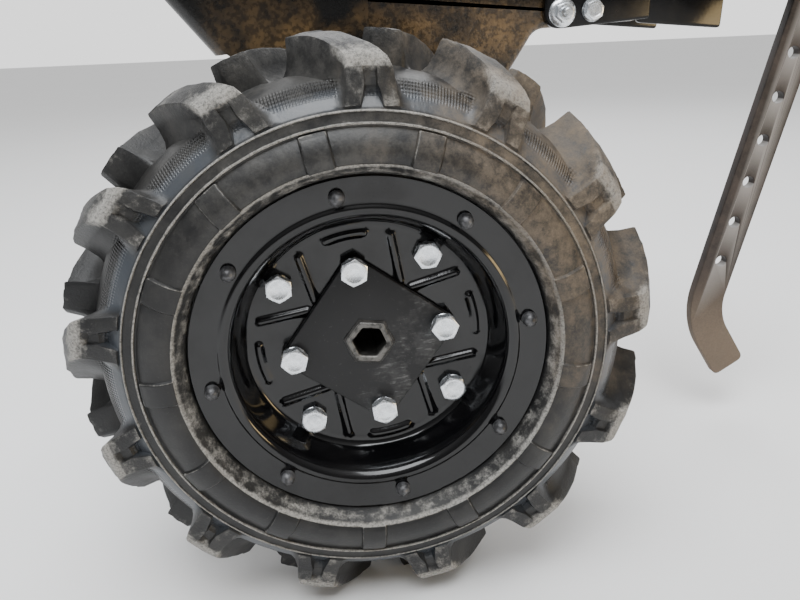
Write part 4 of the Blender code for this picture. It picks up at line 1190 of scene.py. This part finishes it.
@dataclass
class Hub:
    """The square plate with its hexagonal tube, the weld between them, and the fasteners."""

    plate_side: float = 0.089
    plate_low: float = 0.0093
    plate_high: float = 0.0153
    plate_phase: float = math.radians(8.5)
    plate_corner: float = 0.007
    hex_phase: float = math.radians(-8.0)
    tube_across: float = 0.028
    bore_across: float = 0.0206
    tube_out: float = 0.0175
    tube_in: float = -0.117
    weld_half: float = 0.0013
    weld_rise: float = 0.0009
    weld_steps: int = 288
    bolt_circle: float = 0.0519
    hub_back: float = 0.0058
    rim_circle: float = 0.0710
    rim_seat: float = 0.0090
    rim_back: float = 0.0024
    rim_phase: float = math.radians(53.9)
    stud_circle: float = 0.1056
    stud_phase: float = math.radians(8.8)
    head_turns: tuple[float, ...] = (0.10, 0.42, 0.25, 0.62, 0.05, 0.50, 0.33, 0.80)
    STUD = ((0.0335, 0.0), (0.0335, 0.0028), (0.0364, 0.0028), (0.0364, 0.0046),
            (0.0372, 0.0050), (0.0390, 0.0050), (0.0408, 0.0047), (0.0422, 0.0041),
            (0.0434, 0.0031), (0.0442, 0.0018), (0.0447, 0.0006), (0.0448, 0.0))

    def plate(self) -> bpy.types.Mesh:
        """The square plate, rounded at its corners and edges, with a hexagonal hole.

        Returns:
            A mesh in the wheel's frame.
        """
        reach = self.plate_side / math.sqrt(2.0)
        angles = self.plate_phase + np.arange(4) * TURN / 4
        corners = list(zip(reach * np.cos(angles), reach * np.sin(angles)))
        outline = rounded(corners, self.plate_corner, 7)
        mesh = block(outline, self.plate_low, self.plate_high, 0.0009, Along.Z).mesh("plate")
        hole = hex_outline(self.tube_across + 0.0008, self.hex_phase, 0.001)
        cutter = stacked(hole, [(0.0, 0.0), (0.03, 0.0)], Along.Z)
        return pierced(mesh, Shell().grid(cutter, (False, True), (True, True)))

    def weld(self) -> Shell:
        """The bead round the tube: a half-round section carried along a hexagon, whose size
        swells and shrinks with each pass of the weld.

        Returns:
            A shell in the wheel's frame.
        """
        path = np.arange(self.weld_steps) * TURN / self.weld_steps
        middle = hexagon(path, self.tube_across + 0.0006, self.hex_phase)
        swell = 1.0 + 0.22 * np.abs(np.sin(path * 33.0)) + 0.18 * np.sin(path * 7.0 + 1.0)
        around = np.linspace(0.0, TURN, 9, endpoint=False)[:, None]
        radius = middle + self.weld_half * swell * np.cos(around)
        height = self.plate_high + self.weld_rise * swell * np.sin(around)
        grid = np.stack([radius * np.cos(path), radius * np.sin(path), height], -1)
        return Shell().grid(grid, (True, True))

    def tube(self) -> Shell:
        """The hexagonal tube: outer and inner hexagons carried along z, with broken edges.

        Returns:
            A shell in the wheel's frame, with a mask on its two end faces.
        """
        corner = 0.0016
        outer = hex_outline(self.tube_across, self.hex_phase, corner)
        inner = hex_outline(self.bore_across, self.hex_phase, corner)
        out, back = self.tube_out, self.tube_in
        outside = [(back, 0.0006, 0.5), (back + 0.0006, 0.0, 0.8), (back + 0.002, 0.0, 0.0),
                   (out - 0.0022, 0.0, 0.0), (out - 0.0008, 0.0, 0.9), (out, 0.0007, 0.35)]
        inside = [(out, -0.0006, 0.35), (out - 0.0006, 0.0, 1.0), (out - 0.003, 0.0, 0.0),
                  (back + 0.003, 0.0, 0.0), (back + 0.0006, 0.0, 0.7), (back, -0.0006, 1.0)]
        rows = [stacked(outer, [(h, i) for h, i, _ in outside], Along.Z),
                stacked(inner, [(h, i) for h, i, _ in inside], Along.Z)]
        edge = np.array([e for _, _, e in outside + inside])[:, None]
        return Shell().grid(np.concatenate(rows), (True, True), edge=edge)

    def _ring(self, count: int, radius: float, phase: float) -> list[tuple[float, float]]:
        """Places on a circle."""
        angles = phase + np.arange(count) * TURN / count
        return list(zip(radius * np.cos(angles), radius * np.sin(angles)))

    def build(self, side: Side) -> None:
        """The hub, the bolts and the studs of one wheel."""
        place, label = wheel_place(side), side.label
        plate = place.carry(self.plate())
        if side is Side.FAR:
            plate.flip_normals()
        Piece(f"hub_plate_{label}_square", SCUFFED, "wheelset", "plate_black",
              (f"hub_plate_{label}",)).make(plate)
        Piece(f"hub_weld_{label}", TUBE_STEEL, "wheelset", "bare_steel").make(
            self.weld().moved(place))
        Piece(f"hub_tube_{label}_hexagon", TUBE_STEEL, "wheelset", "bare_steel",
              (f"hub_tube_{label}",)).make(self.tube().moved(place))
        near = side is Side.NEAR
        groups = (("hub_bolt", self._ring(4, self.bolt_circle, self.plate_phase),
                   self.plate_high, self.hub_back, self.head_turns[:4]),
                  ("rim_bolt", self._ring(4, self.rim_circle, self.rim_phase),
                   self.rim_seat, self.rim_back, self.head_turns[4:]))
        for kind, spots, seat, back, turns in groups:
            for number, (spot, turn) in enumerate(zip(spots, turns), 1):
                name = f"{kind}_{label}_{number}"
                Piece(name + "_zinc", ZINC, "wheelset", "zinc", (name,) * near).make(
                    Bolt().shell(seat, back, turn).moved(place.after(*spot)))
        for number, spot in enumerate(self._ring(8, self.stud_circle, self.stud_phase), 1):
            name = f"flange_stud_{label}_{number}"
            Piece(name + "_dome", STUD, "wheelset", "stud_grey", (name,) * near).make(
                Shell().grid(turned(self.STUD, 40), (False, True)).moved(place.after(*spot)))


# Chassis -------------------------------------------------------------------------------------
@dataclass
class GearCase:
    """The cast case in two halves, each an open cup that meets the other in the middle."""

    half: float = CASE_HALF
    wall: float = 0.006
    boss: float = 0.058
    top: float = CASE_TOP
    edge: float = 0.005
    left: tuple[float, float] = (-0.088, 0.190)
    right: tuple[float, float] = (0.1337, 0.1634)
    front: float = -0.118
    rear: float = 0.2364
    shelf: float = 0.1970
    fillet: float = 0.0142
    fillet_at: tuple[float, float] = (0.1613, 0.1798)
    seam: float = 0.0004
    gap: float = 0.00015
    axle_hole: float = 0.0213
    input_hole: float = 0.0143
    DRILLED = (0.05, 0.07)              # how far out the drills for the seals start and end

    def outline(self) -> Array:
        """The case from the side: a round boss about the axle, tangents up to the shelf corners,
        a fillet under the rear shelf, and the flat top.

        Returns:
            Points x 2 in world x and z.
        """
        limits = [math.atan2(z, x) + sign * math.acos(self.boss / math.hypot(x, z))
                  for (x, z), sign in ((self.left, 1), (self.right, -1))]
        angle = np.linspace(limits[0], limits[1] + TURN, 48)
        boss = self.boss * np.stack([np.cos(angle), np.sin(angle)], 1)
        bend = np.radians(np.linspace(152.0, 92.0, 8))
        ray = np.stack([np.cos(bend), np.sin(bend)], 1)
        fillet = np.array(self.fillet_at) + self.fillet * ray
        shelf = rounded([(self.rear, self.shelf), (self.rear, self.top), (self.front, self.top),
                         self.left], [0.003, 0.003, 0.003, 0.004], 4)
        points = np.vstack([boss, [self.right], fillet, shelf])
        return points + np.array([AXLE[0], AXLE[2]])

    def build(self) -> None:
        """Both halves, with the holes for the seals."""
        outline = self.outline()
        arc = np.linspace(0.0, math.pi / 2, 6)
        for side in Side:
            sign, label = side.value, side.label
            outer = [(sign * (self.half - self.edge * (1 - math.cos(a))),
                      self.edge * (1 - math.sin(a))) for a in arc]
            stations = outer + [(sign * self.seam, 0.0), (sign * self.gap, self.seam),
                                (sign * self.gap, self.wall),
                                (sign * (self.half - self.wall), self.wall)]
            cup = Shell().grid(stacked(outline, stations, Along.Y), (False, True), (True, True))
            drills = Shell()
            holes = [(AXLE[0], AXLE[2], self.axle_hole)]
            holes += [(INPUT[0], INPUT[1], self.input_hole)] * (side is Side.FAR)
            for x, z, radius in holes:
                spot = Placing(sideways(sign), np.array([x, 0.0, z]))
                drills.grid(spot(cylinder(*self.DRILLED, radius, 48)), (False, True))
            Piece(f"gear_case_{label}_casting", CAST, "chassis", "cast_black",
                  (f"gear_case_{label}",)).make(pierced(cup.mesh("cup"), drills))


@dataclass
class FrontGuard:
    """A folded sheet round the front of the case: two sides and a sloping nose."""

    half: float = 0.0636
    sheet: float = 0.003
    rear: float = 0.022
    toe: tuple[float, float] = (-0.0959, 0.1851)
    top: tuple[float, float] = (-0.1353, CASE_TOP)
    low: float = 0.118
    fold: float = 0.009
    side_steps: int = 23
    shaft_hole: float = 0.0145

    def build(self) -> None:
        """A grid whose columns follow the fold in plan (side, quarter circle, nose and back) and
        whose rows rise from the lower edge to the top; the nose's place slides with height."""
        bend = np.linspace(0.0, math.pi / 2, 9)
        side_t = np.linspace(1.0, 0.0, self.side_steps, endpoint=False)
        fold_t = np.zeros(len(bend))
        inset = np.concatenate([np.zeros(self.side_steps), self.fold * (1 - np.cos(bend))])
        ahead = np.concatenate([np.full(self.side_steps, self.fold),
                                self.fold * (1 - np.sin(bend))])
        share = np.concatenate([side_t, fold_t])
        y = -(self.half - inset)
        share, ahead = (np.concatenate([part, part[::-1]]) for part in (share, ahead))
        y = np.concatenate([y, -y[::-1]])
        bottom = self.toe[1] + share * (self.low - self.toe[1])
        rise = np.linspace(0.0, 1.0, 12)[:, None]
        z = bottom + (self.top[1] - bottom) * rise
        t = np.clip((z - self.toe[1]) / (self.top[1] - self.toe[1]), 0.0, 1.0)
        nose = self.toe[0] + (self.top[0] - self.toe[0]) * t
        x = nose + ahead + share * (self.rear - nose - ahead)
        grid = np.stack([x + AXLE[0], np.broadcast_to(y, x.shape), z + AXLE[2]], -1)
        sheet = in_scene("sheet", Shell().grid(grid).mesh("sheet"))
        wall = sheet.modifiers.new("wall", "SOLIDIFY")
        wall.thickness, wall.offset, wall.use_even_offset = self.sheet, 0.0, True
        mesh = applied(sheet)
        self._draw_in(mesh)
        spot = Placing(sideways(), np.array([INPUT[0], 0.0, INPUT[1]]))
        drill = cylinder(0.05, 0.08, self.shaft_hole, 40)
        mesh = pierced(mesh, Shell().grid(spot(drill), (False, True)))
        Piece("front_guard_sheet", GUARD, "chassis", "gloss_black", ("front_guard",)).make(mesh)

    def _draw_in(self, mesh: bpy.types.Mesh) -> None:
        """Keeps the sheet within its stated width after it is thickened about its middle."""
        points = corners_of(mesh)
        points[:, 1] *= self.half / (self.half + self.sheet / 2)
        points[:, 0] += self.sheet / 2 * (points[:, 0] < AXLE[0] + self.toe[0] + self.fold)
        points[:, 2] = np.minimum(points[:, 2], AXLE[2] + self.top[1])
        mesh.vertices.foreach_set("co", points.ravel())
        mesh.update()


@dataclass
class Frame:
    """The deck, the cheeks with their fasteners, the frame plates and the drawbar."""

    case_half: float = CASE_HALF
    top: float = CASE_TOP
    cheek: float = 0.0075
    plate: float = 0.006
    gap: float = 0.0003
    edge: float = 0.0012
    deck_front: float = -0.145
    deck_rear: float = 0.310
    deck_half: float = 0.078
    deck_corner: float = 0.010
    engine_x: tuple[float, float] = (-0.021, 0.141)
    engine_y: tuple[float, float] = (-0.038, 0.038)
    engine_hole: float = 0.0045
    bar_half: float = 0.025
    toe: float = 0.015
    corner: float = 0.003
    # outlines measured from the axle, x and z
    CHEEK = ((0.158, 0.1925), (0.243, 0.1985), (0.243, CASE_TOP), (0.158, CASE_TOP))
    SIDE = ((0.2368, 0.1955), (0.307, 0.1888), (0.309, CASE_TOP), (0.2368, CASE_TOP))
    BAR = ((0.2368, 0.2125), (0.398, 0.2125), (0.4033, 0.2347), (0.2368, 0.2347))
    # kind, place from the axle, top of the hexagon, radius of the flange, reach of the stud
    FASTENERS = (("cheek_stud", (0.1717, 0.205), 0.0090, 0.0108, 0.0165),
                 ("cheek_bolt", (0.1958, 0.206), 0.0068, 0.0086, 0.0066))

    def _at(self, corners: tuple[tuple[float, float], ...]) -> list[tuple[float, float]]:
        """Corners measured from the axle, in the world's x and z."""
        return [(x + AXLE[0], z + AXLE[2]) for x, z in corners]

    def _deck(self) -> None:
        """The deck plate with its four engine holes."""
        x0, x1, y = AXLE[0] + self.deck_front, AXLE[0] + self.deck_rear, self.deck_half
        outline = rounded([(x0, -y), (x1, -y), (x1, y), (x0, y)], self.deck_corner, 7)
        low = AXLE[2] + self.top + self.gap
        mesh = block(outline, low, low + self.plate, self.edge, Along.Z).mesh("deck")
        drills = Shell()
        for x in self.engine_x:
            for y in self.engine_y:
                pipe = cylinder(low - 0.01, low + 0.016, self.engine_hole, 32)
                drills.grid(pipe + np.array([x + AXLE[0], y, 0.0]), (False, True))
        Piece("deck_plate_rolled", GLOSS, "chassis", "gloss_black", ("deck_plate",)).make(
            pierced(mesh, drills))

    def _flange_nut(self, at: tuple[float, float], face: float, nut: float, flange: float,
                    stud: float) -> Shell:
        """A hexagon on a sloping round flange, on a stud whose end stands out of it.

        Args:
            at: the fastener's middle.
            face: the seat's height.
            nut: height of the hexagon above the seat.
            flange: the flange's radius.
            stud: how far the stud reaches above the seat.

        Returns:
            A shell along z.
        """
        part = Shell()
        part.grid(turned([(face, 0.0), (face, flange - 0.0003), (face + 0.0006, flange),
                          (face + 0.0012, flange - 0.0004), (face + 0.0030, 0.0078),
                          (face + 0.0034, 0.0)], 48), (False, True))
        Bolt(across=0.013).hex_cap(part, face + 0.0016, face + nut, 0.35)
        ridges = np.linspace(face + nut - 0.002, face + stud - 0.0008, 12)
        radius = 0.0040 - 0.0004 * (np.arange(12) % 2)
        part.grid(turned([(0.048, 0.0), (0.048, 0.004), *zip(ridges, radius),
                          (face + stud, 0.0028), (face + stud, 0.0)], 28), (False, True))
        return part.moved(Placing(np.eye(3), np.array([*at, 0.0])))

    def build(self) -> None:
        """Everything on both sides."""
        self._deck()
        cheek = rounded(self._at(self.CHEEK), [self.toe] + [self.corner] * 3, 9)
        plate = rounded(self._at(self.SIDE), self.corner, 4)
        face = self.case_half + 2 * self.gap + self.cheek
        for side in Side:
            sign, label = side.value, side.label
            near = side is Side.NEAR
            low, high = sorted((sign * (self.case_half + self.gap),
                                sign * (self.case_half + self.gap + self.cheek)))
            Piece(f"cheek_{label}_plate", GLOSS, "chassis", "gloss_black",
                  (f"cheek_{label}",)).make(block(cheek, low, high, self.edge, Along.Y))
            low, high = sorted((sign * (self.case_half - self.plate), sign * self.case_half))
            Piece(f"frame_{label}_side", GLOSS, "chassis", "gloss_black",
                  (f"frame_plate_{label}",)).make(block(plate, low, high, 0.0009, Along.Y))
            place = Placing(sideways(sign), np.array([AXLE[0], 0.0, AXLE[2]]))
            for kind, at, nut, flange, stud in self.FASTENERS:
                name = f"{kind}_{label}"
                Piece(name + "_zinc", ZINC, "chassis", "zinc", (name,) * near).make(
                    self._flange_nut(at, face, nut, flange, stud).moved(place))
        bar = rounded(self._at(self.BAR), self.corner, 5)
        Piece("drawbar_bar", GLOSS, "chassis", "gloss_black", ("drawbar",)).make(
            block(bar, -self.bar_half, self.bar_half, self.corner, Along.Y))


class DriveTrain:
    """The inner nodes, which stay as they are and only get their finishes."""

    def build(self) -> None:
        """What is inside the tyres and hubs on each side, and then what is sealed in the case."""
        for side in Side:
            label = side.label
            carried(TUBE_RUBBER, f"inner_tube_{label}")
            carried(BRASS, f"valve_stem_{label}")
            carried(ZINC, f"drive_pin_{label}")
            carried(GEAR_STEEL, f"axle_bearing_{label}", f"input_bearing_{label}")
            carried(SEAL, f"axle_seal_{label}")
        carried(SEAL, "input_seal")
        carried(GEAR_STEEL, "axle_gear", "idler_gear", "input_shaft")
        carried(BARE, "axle_shaft", "idler_pin")


# Drag stake ----------------------------------------------------------------------------------
@dataclass
class DragStake:
    """The flat bar with its row of holes, in a sleeve with a clamp screw."""

    at: tuple[float, float, float] = (0.28149, 0.0, 0.44992)
    lean: float = math.radians(13.5)
    width: float = 0.034
    thick: float = 0.010
    top: float = 0.092
    hole_top: float = 0.072
    holes: int = 10
    pitch: float = 0.040
    hole_radius: float = 0.0055
    bend_at: float = -0.3195
    bend: float = math.radians(45.2)
    bend_radius: float = 0.050
    foot: float = 0.042
    clamp_height: float = 0.012
    gap: float = 0.0003
    sleeve_wall: float = 0.005
    sleeve_span: tuple[float, float] = (-0.034, 0.036)
    tommy_at: float = 0.058
    tommy_hole: float = 0.0038
    # turned profiles, each point (along the axis, radius)
    BOSS = ((0.0215, 0.0063), (0.034, 0.0063), (0.034, 0.0092), (0.0332, 0.0100),
            (0.0235, 0.0100), (0.0222, 0.0112), (0.0215, 0.0125))
    PIN = ((-0.0225, 0.0), (-0.0225, 0.0069), (-0.0219, 0.0075), (-0.0181, 0.0075),
           (-0.0175, 0.0069), (-0.0175, 0.0045), (0.0170, 0.0045), (0.018, 0.0036),
           (0.018, 0.0))
    SCREW_TIP = ((0.0173, 0.0), (0.0173, 0.0048))
    SCREW_HEAD = ((0.050, 0.0060), (0.050, 0.0092), (0.0508, 0.0100), (0.0650, 0.0100),
                  (0.066, 0.0090), (0.066, 0.0))
    KNOB = ((0.0400, 0.0), (0.0399, 0.0018), (0.0393, 0.0034), (0.0383, 0.0045),
            (0.0368, 0.0050), (0.0353, 0.0046), (0.0342, 0.0038), (0.0338, 0.0035))

    def outline(self) -> Array:
        """The bar from the side: down its front, round the bend to the foot, and back up.

        Returns:
            Points x 2 in the leaning frame.
        """
        half, end = self.width / 2, math.pi + self.bend
        angle = np.linspace(math.pi, end, 24)
        ray = np.stack([np.cos(angle), np.sin(angle)], 1)
        middle = np.array([half + self.bend_radius, self.bend_at])
        front = middle + (self.bend_radius + self.width) * ray
        rear = (middle + self.bend_radius * ray)[::-1]
        down = np.array([-math.sin(end), math.cos(end)])
        foot = rounded([tuple(front[-1]), tuple(front[-1] + down * self.foot),
                        tuple(rear[0] + down * self.foot), tuple(rear[0])],
                       [1e-5, 0.006, 0.007, 1e-5], 6)
        head = rounded([(half, -0.1), (half, self.top), (-half, self.top), (-half, -0.1)],
                       [1e-5, 0.004, 0.004, 1e-5], 5)
        return np.vstack([head[5:-5], front, foot[5:-5], rear])

    def bar(self) -> bpy.types.Mesh:
        """The bar with its holes; each drill widens at both faces into a chamfer.

        Returns:
            A mesh in the leaning frame, with a mask on the lower rims of the holes.
        """
        half, r = self.thick / 2, self.hole_radius
        mesh = block(self.outline(), -half, half, 0.0011, Along.Y, 5).mesh("bar")
        drills = Shell()
        profile = [(-half - 0.002, 0.0), (-half - 0.002, r + 0.0022), (-half + 0.0005, r),
                   (half - 0.0005, r), (half + 0.002, r + 0.0022), (half + 0.002, 0.0)]
        across = Placing(sideways(), ORIGIN)
        for number in range(self.holes):
            height = self.hole_top - self.pitch * number
            drills.grid(across(turned(profile, 40)) + np.array([0.0, 0.0, height]),
                        (False, True))
        mesh = pierced(mesh, drills)
        x, _, z = corners_of(mesh).T
        nearest = self.hole_top - self.pitch * np.clip(
            np.round((self.hole_top - z) / self.pitch), 0, self.holes - 1)
        from_hole = np.hypot(x, z - nearest)
        rim = (from_hole < r + 0.0009) * (z < nearest - 0.0008)
        stored = mesh.attributes.new("edge", "FLOAT", "POINT")
        stored.data.foreach_set("value", rim.astype(np.float32))
        return mesh

    def sleeve(self) -> Shell:
        """A rectangular tube round the bar with a boss for the clamp screw: rounded rectangles
        carried up outside and down inside, and a ring turned about the screw's axis.

        Returns:
            A shell in the leaning frame.
        """
        wide, deep = self.width / 2 + self.gap, self.thick / 2 + self.gap
        wall, (low, high) = self.sleeve_wall, self.sleeve_span
        out = [(wide + wall, deep + wall), (-wide - wall, deep + wall),
               (-wide - wall, -deep - wall), (wide + wall, -deep - wall)]
        inner = [(wide, deep), (-wide, deep), (-wide, -deep), (wide, -deep)]
        rows = [stacked(rounded(out, 0.003, 6), [(low, 0.0008), (low + 0.0008, 0.0),
                                                 (high - 0.0008, 0.0), (high, 0.0008)], Along.Z),
                stacked(rounded(inner, 0.0003, 6), [(high, -0.0006), (high - 0.0006, 0.0),
                                                    (low + 0.0006, 0.0), (low, -0.0006)],
                        Along.Z)]
        shell = Shell().grid(np.concatenate(rows), (True, True))
        boss = Placing(REARWARD, np.array([0.0, 0.0, self.clamp_height]))
        return shell.grid(boss(turned(self.BOSS, 48)), (True, True))

    def clamp(self) -> bpy.types.Mesh:
        """The clamp screw: grooves that alternate in depth along the thread, and a round head
        drilled across for the tommy bar.

        Returns:
            A mesh whose axis is x, in the leaning frame's directions.
        """
        along, across = Placing(REARWARD, ORIGIN), Placing(sideways(), ORIGIN)
        thread = np.linspace(0.018, 0.048, 41)
        grooves = 0.006 - 0.0006 * (np.arange(41) % 2)
        screw = [*self.SCREW_TIP, *zip(thread, grooves), *self.SCREW_HEAD]
        mesh = Shell().grid(along(turned(screw, 48)), (False, True)).mesh("screw")
        drill = across(cylinder(-0.02, 0.02, self.tommy_hole, 32))
        drill = drill + np.array([self.tommy_at, 0.0, 0.0])
        return pierced(mesh, Shell().grid(drill, (False, True)))

    def build(self) -> None:
        """The stake, its stop pin, the sleeve, the clamp screw and the tommy bar."""
        place, across = leaning_place(self.at, self.lean), Placing(sideways(), ORIGIN)
        Piece("drag_stake_bar", STAKE_STEEL, "stake", "dusty_steel", ("drag_stake",)).make(
            place.carry(self.bar()))
        Piece("stake_sleeve_tube", GLOSS, "chassis", "gloss_black", ("stake_sleeve",)).make(
            self.sleeve().moved(place))
        Piece("stop_pin_turned", ZINC, "stake", "zinc", ("stop_pin",)).make(
            Shell().grid(across(turned(self.PIN, 40)), (False, True)).moved(
                place.after(0.0, 0.0, self.hole_top)))
        Piece("clamp_screw_threaded", ZINC, "clamp", "zinc", ("clamp_screw",)).make(
            place.after(0.0, 0.0, self.clamp_height).carry(self.clamp()))
        tommy = [*self.KNOB, *((-a, r) for a, r in reversed(self.KNOB))]
        Piece("tommy_bar_turned", ZINC, "tommy", "zinc", ("tommy_bar",)).make(
            Shell().grid(across(turned(tommy, 32)), (False, True)).moved(
                place.after(self.tommy_at, 0.0, self.clamp_height)))


# Studio --------------------------------------------------------------------------------------
@dataclass
class Studio:
    """Floor, light and camera."""

    eye: tuple[float, float, float] = (-0.18010, -0.65566, 0.39811)
    azimuth: float = math.radians(-6.396)
    elevation: float = math.radians(20.287)
    roll: float = math.radians(-2.358)
    lens: float = 33.0038
    sensor: float = 36.0
    clip: float = 0.02
    floor_half: float = 14.0
    LIT_POINT = (-0.1, 0.0, 0.2)
    # name, place, side of the square, power, tint
    LAMPS = (("key", (-0.35, -0.85, 2.2), 1.5, 70.0, (0.95, 0.975, 1.0)),
             ("warm", (1.3, -1.2, 0.35), 0.4, 6.0, (1.0, 0.74, 0.38)),
             ("back", (0.5, 1.9, 2.2), 1.8, 30.0, (0.97, 0.98, 1.0)))
    SKY_LEAST = 0.10
    SKY = ((1, 0.0, 0.8, 1.5), (2, 0.3, 0.9, 0.5))      # axis, from, to, most strength

    def _floor(self) -> None:
        """A flat grid on the ground."""
        span = np.linspace(-self.floor_half, self.floor_half, 9)
        x, y = np.meshgrid(span, span)
        mesh = Shell().grid(np.stack([x, y, 0.0 * x], -1)).mesh("floor")
        mesh.materials.append(PaleFloor("pale floor").material())
        in_scene("floor", mesh)

    def _surroundings(self) -> None:
        """A white sky that is bright behind the object and overhead, and dim behind the camera:
        its strength is a smooth step of the direction's y plus one of its height."""
        world = bpy.data.worlds.new("studio")
        world.use_nodes = True
        tree = world.node_tree
        back = tree.nodes["Background"]
        back.inputs["Color"].default_value = (1.0, 1.0, 1.0, 1.0)
        where = tree.nodes.new("ShaderNodeTexCoord")
        parts = tree.nodes.new("ShaderNodeSeparateXYZ")
        tree.links.new(where.outputs["Generated"], parts.inputs[0])
        total = tree.nodes.new("ShaderNodeMath")
        for number, (axis, low, high, most) in enumerate(self.SKY):
            step = tree.nodes.new("ShaderNodeMapRange")
            step.interpolation_type = "SMOOTHSTEP"
            tree.links.new(parts.outputs[axis], step.inputs["Value"])
            for socket, value in (("From Min", low), ("From Max", high),
                                  ("To Min", self.SKY_LEAST), ("To Max", most)):
                step.inputs[socket].default_value = value
            tree.links.new(step.outputs[0], total.inputs[number])
        tree.links.new(total.outputs[0], back.inputs["Strength"])
        bpy.context.scene.world = world

    def _light(self, name: str, at: Colour, size: float, power: float, tint: Colour) -> None:
        """A square area light that faces the wheels."""
        data = bpy.data.lights.new(name, "AREA")
        data.shape, data.size, data.energy, data.color = "SQUARE", size, power, tint
        lamp = in_scene(name, data)
        lamp.location = at
        aim = Vector(self.LIT_POINT) - Vector(at)
        lamp.rotation_euler = aim.to_track_quat("-Z", "Y").to_euler()

    def _camera(self) -> None:
        """The camera; its axes come from the azimuth, the elevation and the roll."""
        a, e, r = self.azimuth, self.elevation, self.roll
        back = Vector((math.sin(a) * math.cos(e), -math.cos(a) * math.cos(e), math.sin(e)))
        right = Vector((math.cos(a), math.sin(a), 0.0))
        up = back.cross(right)
        right, up = (right * math.cos(r) + up * math.sin(r),
                     up * math.cos(r) - right * math.sin(r))
        data = bpy.data.cameras.new("camera")
        data.sensor_width, data.lens = self.sensor, self.lens
        data.clip_start = self.clip
        camera = in_scene("camera", data)
        camera.matrix_world = Matrix([[right[i], up[i], back[i], self.eye[i]] for i in range(3)]
                                     + [[0.0, 0.0, 0.0, 1.0]])
        bpy.context.scene.camera = camera

    def build(self) -> None:
        """Everything that isn't part of the object."""
        self._floor()
        self._camera()
        self._surroundings()
        for lamp in self.LAMPS:
            self._light(*lamp)


def main() -> None:
    """Builds every sub-assembly."""
    logging.basicConfig(level=logging.INFO, format="%(message)s")
    Tyre().build()
    for side in Side:
        Rim().build(side)
        Hub().build(side)
    GearCase().build()
    FrontGuard().build()
    Frame().build()
    DriveTrain().build()
    DragStake().build()
    Studio().build()


if __name__ == "__main__":
    main()
